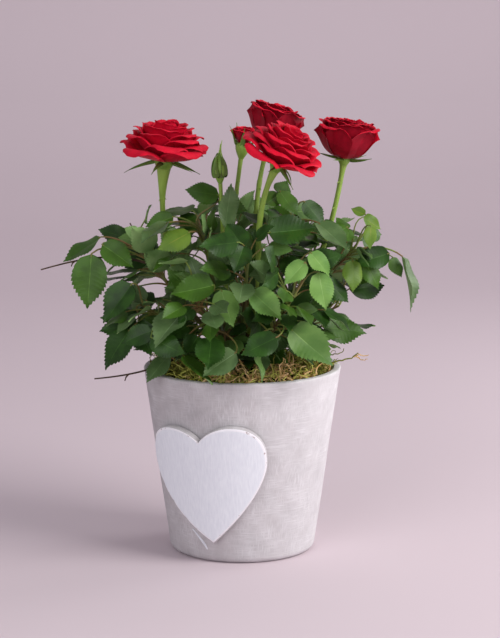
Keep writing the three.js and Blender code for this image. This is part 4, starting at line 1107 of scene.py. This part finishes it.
# How each bloom is built: count of petals, breadth of a petal as a share of PETAL_BREADTH, distance of
# the innermost and outermost rims from the axis, their heights, the leans a petal leaves and
# arrives with, the round it rolls over and how far, and how much its sides curl and its rim waves.
BLOOM_HABITS = {
    "left_bloom": dict(petals=34, breadth=1.0, core=3.5, reach=35, spread=0.68, crown=34, skirt=15, fall=1.8,
                       start=84, tight=-6, open=58, round=6.4, roll=(60, 108), curl=5, ruffle=0.8, seed=5),
    "front_bloom": dict(petals=34, breadth=1.0, core=3.5, reach=31, spread=0.66, crown=34, skirt=14, fall=1.8,
                        start=84, tight=-6, open=58, round=6.4, roll=(60, 108), curl=5, ruffle=0.8, seed=8),
    "back_bloom": dict(petals=34, breadth=1.0, core=3.5, reach=22.5, spread=0.8, crown=32, skirt=29, fall=2.4,
                       start=80, tight=-4, open=18, round=3.0, roll=(45, 110), curl=4.5, ruffle=1.4, seed=13),
    "right_bloom": dict(petals=34, breadth=1.0, core=3.5, reach=24, spread=0.8, crown=33, skirt=28, fall=2.4,
                        start=86, tight=-4, open=16, round=3.2, roll=(45, 115), curl=5, ruffle=1.4, seed=21),
}


def petals_piece(name, habit, lift, dice, materials):
    """All petals of a bloom, from its middle outwards; the first material is their outside."""
    skin = Skin()
    place, up, side = bloom_frame(name)
    for i in range(habit["petals"]):
        skin.add(petal_points(place + up * lift, up, side, habit, i, dice), PETAL_FACES, PETAL_LOOKS)
    return skin.piece(f"{name}_petals", materials)


SEPAL_ROWS = 14
SEPAL_COLUMNS = 5
SEPAL_UPPER, SEPAL_LOWER, SEPAL_INNER = lens_faces(SEPAL_ROWS, SEPAL_COLUMNS)
SEPAL_FACES = np.concatenate([SEPAL_UPPER, SEPAL_LOWER])


def sepal(skin, root, way_out, up, long, wide, bend, look):
    """A narrow green sepal with a thread-like tip, bending towards up or away from it."""
    s = np.linspace(0, 1, SEPAL_ROWS)
    sideways = unit(cross(up, way_out))
    lean = np.radians(bend) * s ** 1.2
    face = across(way_out, up)
    step = long / (SEPAL_ROWS - 1)
    ways = np.outer(np.cos(lean), way_out) + np.outer(np.sin(lean), face)
    centres = root + np.concatenate([[vec(0, 0, 0)], np.cumsum((ways[1:] + ways[:-1]) / 2 * step, axis=0)])
    v = np.linspace(-1, 1, SEPAL_COLUMNS)
    narrowing = 0.12 + 0.88 * np.clip(1 - s / 0.85, 0, 1) ** 0.8
    breadth = wide / 2 * np.clip(s / 0.2 + 0.5, 0, 1) ** 0.6 * narrowing
    normals = np.cross(ways, sideways)
    points = centres[:, None, :] + sideways * (breadth[:, None] * v)[:, :, None]
    points = points - normals[:, None, :] * (0.35 * breadth[:, None] * (v ** 2)[None, :])[:, :, None]
    upper = points.reshape(-1, 3)
    thick = np.minimum(0.5, np.repeat(breadth, SEPAL_COLUMNS) * 0.6)[:, None]
    lower = upper + np.repeat(normals, SEPAL_COLUMNS, axis=0) * thick
    skin.add(np.concatenate([upper, lower[SEPAL_INNER]]), SEPAL_FACES, look)


def calyx_piece(name, habit, materials):
    """The hip that flares under a bloom, and its five sepals with long thin tips."""
    skin = Skin()
    place, up, side = bloom_frame(name)
    neck = CANES[name]["neck"]
    top = neck + habit["flare"][0]
    rows = ((-0.2, top), (1.2, top + 0.8), (3.2, top + 1.9), (5.4, top + 2.4), (7, top + 1.2), (8, 2))
    centres = [place + up * height for height, _ in rows]
    tube(skin, centres, [radius for _, radius in rows], 16, 0)
    dice = random.Random(name)
    for i in range(5):
        radial = turned_about(side, up, 72 * i + 20 + dice.uniform(-8, 8))
        dip = math.radians(dice.uniform(*habit["dip"]))
        way_out = radial * math.cos(dip) - up * math.sin(dip)
        root = place + up * 5.0 + radial * (top + 1.0)
        face = turned_about(up, way_out, dice.uniform(-65, 65))
        long, wide = dice.uniform(*habit["long"]), dice.uniform(4.2, 5.4)
        sepal(skin, root, way_out, face, long, wide, dice.uniform(*habit["bend"]), 1)
    return skin.piece(f"{name}_calyx", materials)


# How the calyx of each bloom is built: how much its cane flares and over what length, and for its
# sepals how far they dip, how long they are and how far they bend
CALYX_HABITS = {
    "left_bloom": dict(flare=(3.4, 26), dip=(5, 25), long=(20, 28), bend=(-38, 10)),
    "front_bloom": dict(flare=(1.5, 13), dip=(0, 26), long=(19, 27), bend=(-40, 10)),
    "back_bloom": dict(flare=(2.0, 12), dip=(-10, 14), long=(18, 24), bend=(-20, 25)),
    "right_bloom": dict(flare=(1.0, 8), dip=(-4, 12), long=(17, 23), bend=(-10, 35)),
}


def closed_bud_piece(materials):
    """A shut bud: five sepals pressed round it, meeting in a long twisted tip."""
    skin = Skin()
    place, up, side = bloom_frame("closed_bud")
    outline = ((0, 1.5), (1.2, 2.0), (2.6, 2.6), (4.2, 3.3), (5.6, 4.1), (7.5, 4.9), (9.6, 5.3), (12, 5.2),
               (14.5, 4.5), (17, 3.3), (19.5, 2.1), (22, 1.2), (24, 0.8))
    turns = 2 * np.pi * np.arange(20) / 20
    heights = np.array([h for h, _ in outline])
    seams = -0.12 * np.abs(np.sin(2.5 * turns))[None, :] * np.clip((heights - 4) / 4, 0, 1)[:, None] * 4.5
    lean = turned_about(side, up, 40)
    centres = [place + up * h + lean * (0.004 * h * h) for h, _ in outline]
    tube(skin, centres, np.array([r for _, r in outline]), 20, 0, bumps=seams + 0.2)
    tip_start = centres[-1]
    for i in range(3):
        radial = turned_about(side, up, 120 * i)
        wave = [tip_start + up * (k * 1.25 - 3) + radial * (0.25 + 0.02 * k) + lean * (0.04 * k * k)
                for k in range(9 - 2 * i)]
        tube(skin, wave, np.linspace(0.75, 0.2, len(wave)), 6, 0)
    for i in range(5):
        radial = turned_about(side, up, 72 * i + 10)
        way_up = unit(up * 0.95 + radial * 0.28)
        sepal(skin, place + up * 4.2 + radial * 3.6, way_up, -radial, 19, 7.2, 56, 1)
    return skin.piece("closed_bud_sepals", materials)


# Outer petals that lean out further than this, in degrees, get an outside painted as bright as the inner
# ones: painted light on undersides that hang in shade.
WIDE_OPEN = 40
OPENING_BUD_HABIT = dict(petals=14, breadth=0.68, core=2.0, reach=9.5, spread=0.9, crown=16.5, skirt=13,
                         fall=2.0, start=50, tight=-4, open=16, round=1.8, roll=(30, 100), curl=2.5,
                         ruffle=0.6)
OPENING_BUD_LIFT = 7


def opening_bud_pieces(petal_finishes, green_finishes):
    """A bud that shows colour: petals still rolled together, sepals standing off them."""
    place, up, side = bloom_frame("opening_bud")
    skin = Skin()
    rows = ((-0.2, 1.8), (2, 2.9), (4, 4.0), (6.5, 5.0), (9, 5.5), (11, 5.5), (12, 4.6))
    tube(skin, [place + up * h for h, _ in rows], [r for _, r in rows], 16, 0)
    dice = random.Random(4)
    for i in range(5):
        radial = turned_about(side, up, 72 * i + 40)
        way_out = unit(up * dice.uniform(0.8, 1.0) + radial * dice.uniform(0.25, 0.7))
        root = place + up * 10 + radial * 5.1
        sepal(skin, root, way_out, -radial, dice.uniform(13, 18), 4.6, dice.uniform(-30, 18), 1)
    calyx = skin.piece("opening_bud_calyx", green_finishes)
    petals = petals_piece("opening_bud", OPENING_BUD_HABIT, OPENING_BUD_LIFT, dice, petal_finishes)
    return petals, calyx


# Pot
def wall_radius(height):
    return mix(FOOT_RADIUS, RIM_RADIUS, height / POT_HEIGHT)


def arc(radius, height, turn_radius, start, end, steps):
    angles = np.radians(np.linspace(start, end, steps))
    return [(radius + turn_radius * math.cos(a), height + turn_radius * math.sin(a)) for a in angles]


# The heights and the bearings that a run of wash goes between
WASH_RUN_HEIGHTS = (24.5, 10)
WASH_RUN_BEARINGS = (230.5, 242.5)


def pot_piece(materials):
    """The cast pot: a slightly uneven wall with small chips along its rim."""
    foot = arc(wall_radius(FOOT_ROUND) - FOOT_ROUND, FOOT_ROUND, FOOT_ROUND, -90, -8, 9)
    wall = [(wall_radius(h), h) for h in np.linspace(9, POT_HEIGHT - 4, 56)]
    outer = arc(RIM_RADIUS - RIM_ROUND, POT_HEIGHT - RIM_ROUND, RIM_ROUND, -5, 90, 5)
    inner = arc(RIM_RADIUS - POT_WALL + RIM_ROUND, POT_HEIGHT - RIM_ROUND, RIM_ROUND, 90, 175, 5)
    lining = [(wall_radius(h) - POT_WALL, h) for h in np.linspace(POT_HEIGHT - 6, POT_FLOOR, 8)]
    outline = np.array([(30, 0), *foot, *wall, *outer, *inner, *lining, (20, POT_FLOOR)])
    sides = 160
    turns = 2 * np.pi * np.arange(sides) / sides
    radii, heights = outline[:, :1], outline[:, 1:]
    on_wall = (heights > 4) & (radii > 40)
    uneven = 0.10 * np.sin(3 * turns + heights / 19) + 0.07 * np.sin(8 * turns - heights / 11) - 0.12
    radii = radii + uneven * on_wall
    near_rim = np.clip(1 - np.abs(heights - POT_HEIGHT) / 2.2, 0, 1)
    dice = random.Random(3)
    nicks = sum(np.exp(-((turns - dice.uniform(0, 2 * np.pi)) / dice.uniform(0.01, 0.03)) ** 2)
                for _ in range(26))
    heights = heights - 0.45 * near_rim * np.minimum(nicks, 1)
    heights = np.where(outline[:, 1:] <= 0.01, 0, heights)
    points = np.stack(np.broadcast_arrays(radii * np.cos(turns), radii * np.sin(turns), heights), axis=-1)
    skin = Skin()
    rows = len(outline)
    points = np.concatenate([points.reshape(-1, 3), [(0, 0, 0), (0, 0, POT_FLOOR)]])
    skin.add(points, grid_faces(rows, sides, closed=True), 0)
    skin.close_ends(rows, sides, 0)
    add_wash_run(skin, 1)
    return skin.piece("pot_body", materials, 40)


def add_wash_run(skin, look):
    """A short ridge of wash that ran down the wall beside the heart's point."""
    down = np.linspace(0, 1, 14)
    heights = mix(WASH_RUN_HEIGHTS[0], WASH_RUN_HEIGHTS[1], down)
    turns = np.radians(mix(WASH_RUN_BEARINGS[0], WASH_RUN_BEARINGS[1], 1 - (1 - down) ** 1.4))
    radii = wall_radius(heights)
    centres = np.stack([radii * np.cos(turns), radii * np.sin(turns), heights], axis=1)
    tube(skin, centres, 0.3 + 0.6 * np.sin(np.pi * (0.02 + 0.96 * down ** 1.5)), 8, look)


def heart_outline(share):
    """A place on the outline by the share of the way round, from the cleft over the right lobe."""
    down = 1 - abs(1 - 2 * share)
    keys, t = (HEART_LOBE, down * 2) if down < 0.5 else (HEART_FLANK, down * 2 - 1)
    x, y = point([np.array(key, float) for key in keys], t)
    return (x if share <= 0.5 else -x), y


def on_wall(sideways, upward, out):
    """A place on the pot's wall by distances from the heart's middle, tilted as the heart is."""
    tilt = math.radians(HEART_TILT)
    x = sideways * math.cos(tilt) - upward * math.sin(tilt)
    height = HEART_MIDDLE + sideways * math.sin(tilt) + upward * math.cos(tilt)
    radius = wall_radius(height) + out
    turn = math.radians(HEART_BEARING) + x / wall_radius(HEART_MIDDLE)
    return radius * math.cos(turn), radius * math.sin(turn), height


def heart_piece(materials):
    """The plaque: a thick heart bent to the wall, its edge rounded over and rubbed bare in places."""
    face = HEART_THICK + HEART_SEAT
    rings = [(k / 6, HEART_SEAT) for k in range(1, 7)]
    rings += [(1, face * 0.35), (1.0, face * 0.6), (0.998, face - 1.9), (0.990, face - 1.0),
              (0.978, face - 0.4), (0.964, face - 0.12), (0.945, face - 0.02), (0.92, face)]
    rings += [(k / 10, face) for k in range(9, 0, -1)]
    count = 200
    dice = random.Random(6)
    nicks = [(dice.random(), dice.uniform(0.003, 0.009), dice.uniform(0.2, 0.6))
             for _ in range(12)]
    points = []
    for share, out in rings:
        for k in range(count):
            x, y = heart_outline(k / count)
            worn = sum(deep * math.exp(-((k / count - at) / wide) ** 2) for at, wide, deep in nicks)
            rub = worn if 0.95 < share < 1 and out > HEART_SEAT else 0
            points.append(on_wall(x * share, y * share, out - rub))
    skin = Skin()
    points += [on_wall(0, 0, HEART_SEAT), on_wall(0, 0, face)]
    # Cement at the back and the side, the worn edge over the round, wash on the face
    looks = np.zeros((len(rings) - 1, count), int)
    looks[:10] = 2
    looks[10:12] = 1
    skin.add(points, grid_faces(len(rings), count, closed=True)[:, ::-1], looks.ravel())
    skin.close_ends(len(rings), count, 0, inward=True)
    return skin.piece("heart", materials, 35)


# Moss
def moss_height(share, turn):
    dome = mix(MOSS_CROWN, MOSS_EDGE, share * share)
    lumps = math.sin(5 * turn + 9 * share) + math.sin(11 * turn - 13 * share + 2) * 0.7
    return dome + MOSS_LUMP * lumps * (1 if share < 1 else 0.3)


def moss_painted_shade_bed(material):
    """The bed under the strands, lumpy like the strands themselves, and coloured near black: painted shade
    for the depths between the strands.
    """
    skin = Skin()
    dice = random.Random(2)
    rows, sides = 18, 120
    bottom = SOIL_TOP + SEAT_GAP
    points = []
    for ring in range(rows + 2):
        share = min(1, max(0, (ring - 1) / (rows - 1)))
        for k in range(sides):
            turn = 2 * math.pi * k / sides
            floor = ring in (0, rows + 1)
            height = bottom if floor else moss_height(share, turn) - 1.4 + dice.uniform(-0.7, 0.7)
            wall = wall_radius(height) - POT_WALL - SEAT_GAP * 1.5
            radius = mix(MOSS_HOLE, wall, share)
            points.append((radius * math.cos(turn), radius * math.sin(turn), height))
    faces = grid_faces(rows + 2, sides, closed=True)[:, ::-1]
    k = np.arange(sides)
    last = (rows + 1) * sides
    under = np.stack([last + k, k, (k + 1) % sides, last + (k + 1) % sides], axis=1)
    skin.add(points, np.concatenate([faces, under]), 0)
    return skin.piece("moss_painted_shade_bed", [material])


def strand(skin, start, heading, long, radius, curl, dice, look):
    """A curly thread of moss, three-sided."""
    steps = 8
    place, go = start, heading
    centres = [place]
    for _ in range(steps):
        go = unit(go + vec(dice.gauss(0, curl), dice.gauss(0, curl), dice.gauss(0, curl * 0.7)))
        place = place + go * (long / steps)
        wall = wall_radius(place[2]) - POT_WALL - 1.2
        if place[2] < POT_HEIGHT + 1 and flat(place) > wall:
            place = place - outward(place) * (flat(place) - wall)
        centres.append(place)
    tube(skin, centres, np.linspace(radius, radius * 0.45, steps + 1), 3, look)


MOSS_STRANDS = 1700
# Loose strands that stand out over the rim on the right: four places of a curve, radius and look
MOSS_STRAYS = ((((58, -20, 146), (70, -24, 149), (80, -20, 147), (87, -22, 154)), 0.85, 1),
               (((84, -21, 151), (88, -22, 156), (91, -22, 150), (95, -23, 153)), 0.6, 2),
               (((85, -22, 152), (88, -20, 150), (90, -22, 148), (94, -24, 150)), 0.5, 2),
               (((58, -26, 148), (66, -24, 158), (72, -26, 151), (77, -24, 158)), 0.6, 1))
STRAY_ROWS = 14
STRAY_SIDES = 5
STRAY_KINK = 0.35


def moss_strands(materials):
    """Curly strands lying over the bed, more of them dry and tan towards the right of the front."""
    skin = Skin()
    dice = random.Random(77)
    for _ in range(MOSS_STRANDS):
        share = math.sqrt(dice.uniform(0.04, 1))
        turn = dice.uniform(0, 2 * math.pi)
        height = moss_height(share, turn) + dice.uniform(-1.6, 3.2) + 4.6 * share ** 3
        radius = mix(MOSS_HOLE, wall_radius(height) - POT_WALL - 1.0, share)
        start = vec(radius * math.cos(turn), radius * math.sin(turn), height)
        heading = toward(dice.uniform(0, 360), dice.uniform(-5, 50))
        if share > 0.9:
            heading = unit(heading - outward(start) * 0.8 + vec(0, 0, 0.3))
        dry = 0.08 + 0.48 * max(0, math.cos(turn - math.radians(300))) ** 2
        look = 2 if dice.random() < dry else dice.choice((0, 0, 1))
        thick = dice.uniform(0.3, 0.75) if look < 2 else dice.uniform(0.4, 0.8)
        strand(skin, start, heading, dice.uniform(8, 24), thick, 0.62, dice, look)
    for keys, thick, look in MOSS_STRAYS:
        centres = path_points([np.array(key, float) for key in keys], 0, 1, STRAY_ROWS)
        kinks = [[dice.gauss(0, STRAY_KINK) for _ in range(3)] for _ in range(STRAY_ROWS - 1)]
        centres[1:] += np.array(kinks)
        tube(skin, centres, np.linspace(thick, thick * 0.5, STRAY_ROWS), STRAY_SIDES, look)
    return skin.piece("moss_strands", materials)


# Assembly
def placed(piece, slot, *nodes):
    """Rides on the part's one body, and stands for the source's solids."""
    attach(piece, "root")
    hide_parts(*nodes)


def dress_plant():
    crown = Crown().grow()
    leaf_finishes = make_leaf_finishes()
    cane_green = green_skin("cane_green", "#8ba848", "#7a943c", 9, 0.42)
    bough_brown = green_skin("bough_brown", "#66703a", "#5a4a2c", 7, 0.6)
    stalk_green = green_skin("stalk_green", "#72863c", "#775f3a", 14, 0.5)
    twig_brown = green_skin("twig_brown", "#51402f", "#3a2b22", 6, 0.65)
    twig_finishes = [bough_brown, stalk_green, twig_brown]
    hip_green = green_skin("hip_green", "#86a548", "#6f9038", 6, 0.42)
    sepal_green = green_skin("sepal_green", "#5b7c30", "#566b30", 5, 0.55)
    velvet = petal_velvet("petal_velvet", "#d50f2e", "#b90a28", 0.18)
    # The petals' outside comes in two copies. The darker one is partly the outside's own deeper wine and
    # partly painted shade, for the cupped blooms and the opening bud. The brighter one is painted light, for
    # the outer petals of wide-open blooms.
    velvet_back_painted_shade = petal_velvet("petal_back_painted_shade", "#9c0a24", "#80071b", 0.14)
    velvet_painted_light = petal_velvet("petal_painted_light", "#dc1233", "#bd0e2c", 0.16)

    placed(stock_piece(stock_bark()), "stock_bark", "base_stem")
    for seed, (name, cane) in enumerate(CANES.items()):
        flare = CALYX_HABITS[name]["flare"] if name in CALYX_HABITS else BUD_FLARE
        stem = limb_piece(f"stem_{name}", crown.canes[name], 0, 1, cane["foot"], cane["neck"], cane_green,
                          flare, CANE_THORNS, seed)
        placed(stem, "cane_skin", f"cane_{name}")
    for seed, (name, path) in enumerate(crown.shoots.items()):
        bough = limb_piece(f"limb_{name}", path, 0, SHOOT_ENTRY, BOUGH_FOOT, BOUGH_NECK, bough_brown,
                           NO_FLARE, BOUGH_THORNS, seed + BOUGH_SEED)
        placed(bough, "cane_skin", f"bough_{name}")
        leaves = leaf_piece(name, crown.leaves[name], leaf_finishes)
        placed(leaves, "foliage", f"foliage_{name}")
        placed(twig_piece(name, path, crown.leaves[name], twig_finishes), "foliage", f"foliage_{name}")
    for name, habit in BLOOM_HABITS.items():
        # Wide-open blooms take the brighter outside (painted light). Cupped ones take the darker outside
        # (partly painted shade).
        outside = velvet_painted_light if habit["open"] > WIDE_OPEN else velvet_back_painted_shade
        petals = petals_piece(name, habit, 0, random.Random(habit["seed"]), [outside, velvet])
        placed(petals, "petal", name)
        placed(calyx_piece(name, CALYX_HABITS[name], [hip_green, sepal_green]), "bud_green", name)
    placed(closed_bud_piece([hip_green, sepal_green]), "bud_green", "closed_bud")
    petals, calyx = opening_bud_pieces([velvet_back_painted_shade, velvet], [hip_green, sepal_green])
    placed(petals, "petal", "opening_bud")
    placed(calyx, "bud_green", "opening_bud")


def dress_pot():
    cement = washed_cement()
    wash = heart_wash()
    placed(pot_piece([cement, wash]), "pot_cement", "pot")
    placed(heart_piece([wash, worn_edge(), cement]), "heart_wash", "heart_plaque")
    # The bed's near-black colour is painted shade between the moss strands.
    bed = moss_fibre("moss_painted_shade_bed", "#2b2a16", "#1e1c10")
    placed(moss_painted_shade_bed(bed), "moss", "moss_cover")
    tints = [moss_fibre("moss_green", "#cbcb6c", "#a8a94c"), moss_fibre("moss_dark", "#7d7f38", "#5f602a"),
             moss_fibre("moss_tan", "#e8c693", "#c9a268")]
    placed(moss_strands(tints), "moss", "moss_cover")
    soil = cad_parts["potting_soil"]
    soil.data.materials.clear()
    soil.data.materials.append(potting_soil())


# The lamps, in metres: name, place, where each points, watts, breadth and colour
LAMPS = (("key", (1.2, -0.7, 1.05), (0, 0, 0.2), 24, 1.0, (1.0, 0.98, 0.96)),
         ("rim", (1.05, 0.55, 0.5), (0, 0, 0.1), 3.6, 0.5, (1.0, 0.99, 1.0)),
         ("fill", (-0.9, -1.6, 0.8), (0, 0, 0.2), 11, 1.2, (0.98, 0.98, 1.0)),
         ("backdrop", (0.5, 0.9, 1.9), (0.0, 2.3, 0.7), 9, 1.2, (1.0, 0.97, 0.98)))


def light(name, place, target, power, breadth, colour):
    lamp = bpy.data.lights.new(name, "AREA")
    lamp.energy, lamp.size, lamp.color = power, breadth, colour
    made = bpy.data.objects.new(name, lamp)
    made.location = place
    aim = vec(*target) - vec(*place)
    made.rotation_euler = (math.atan2(flat(aim), -aim[2]), 0, math.atan2(aim[1], aim[0]) - math.pi / 2)
    bpy.context.scene.collection.objects.link(made)


# The side view of the paper sweep in metres: floor, bend and backdrop
SWEEP = ((-2.4, 0), (1.3, 0), (1.65, 0.02), (1.9, 0.09), (2.08, 0.2), (2.2, 0.38), (2.26, 0.6), (2.28, 3.0))
SWEEP_REACH = 3.0


def make_studio():
    """A plain pale sweep, soft light from the right and above, and the photograph's view."""
    points = [(x, y, z) for y, z in SWEEP for x in (-SWEEP_REACH, SWEEP_REACH)]
    faces = [(2 * i, 2 * i + 1, 2 * i + 3, 2 * i + 2) for i in range(len(SWEEP) - 1)]
    mesh = bpy.data.meshes.new("pale_floor")
    mesh.from_pydata(points, [], faces)
    for face in mesh.polygons:
        face.use_smooth = True
    paper = {"Base Color": linear("#d3c5cb"), "Specular IOR Level": 0.2}
    material, _, _ = new_finish("pale_paper", 0.7, paper)
    mesh.materials.append(material)
    floor = bpy.data.objects.new("pale_floor", mesh)
    bpy.context.scene.collection.objects.link(floor)

    for lamp in LAMPS:
        light(*lamp)
    world = bpy.data.worlds.new("soft_room")
    world.use_nodes = True
    world.node_tree.nodes["Background"].inputs["Color"].default_value = linear("#e2dfe8")
    world.node_tree.nodes["Background"].inputs["Strength"].default_value = 0.46
    bpy.context.scene.world = world
    bpy.context.scene.view_settings.view_transform = "Standard"

    camera = bpy.data.cameras.new("camera")
    camera.lens = CAMERA_LENS
    camera.sensor_width = 36
    camera.clip_start, camera.clip_end = 0.05, 20
    eye = bpy.data.objects.new("camera", camera)
    eye.location = CAMERA_PLACE
    eye.rotation_euler = (math.radians(90 - CAMERA_PITCH), 0, 0)
    bpy.context.scene.collection.objects.link(eye)
    bpy.context.scene.camera = eye


make_studio()
dress_plant()
dress_pot()
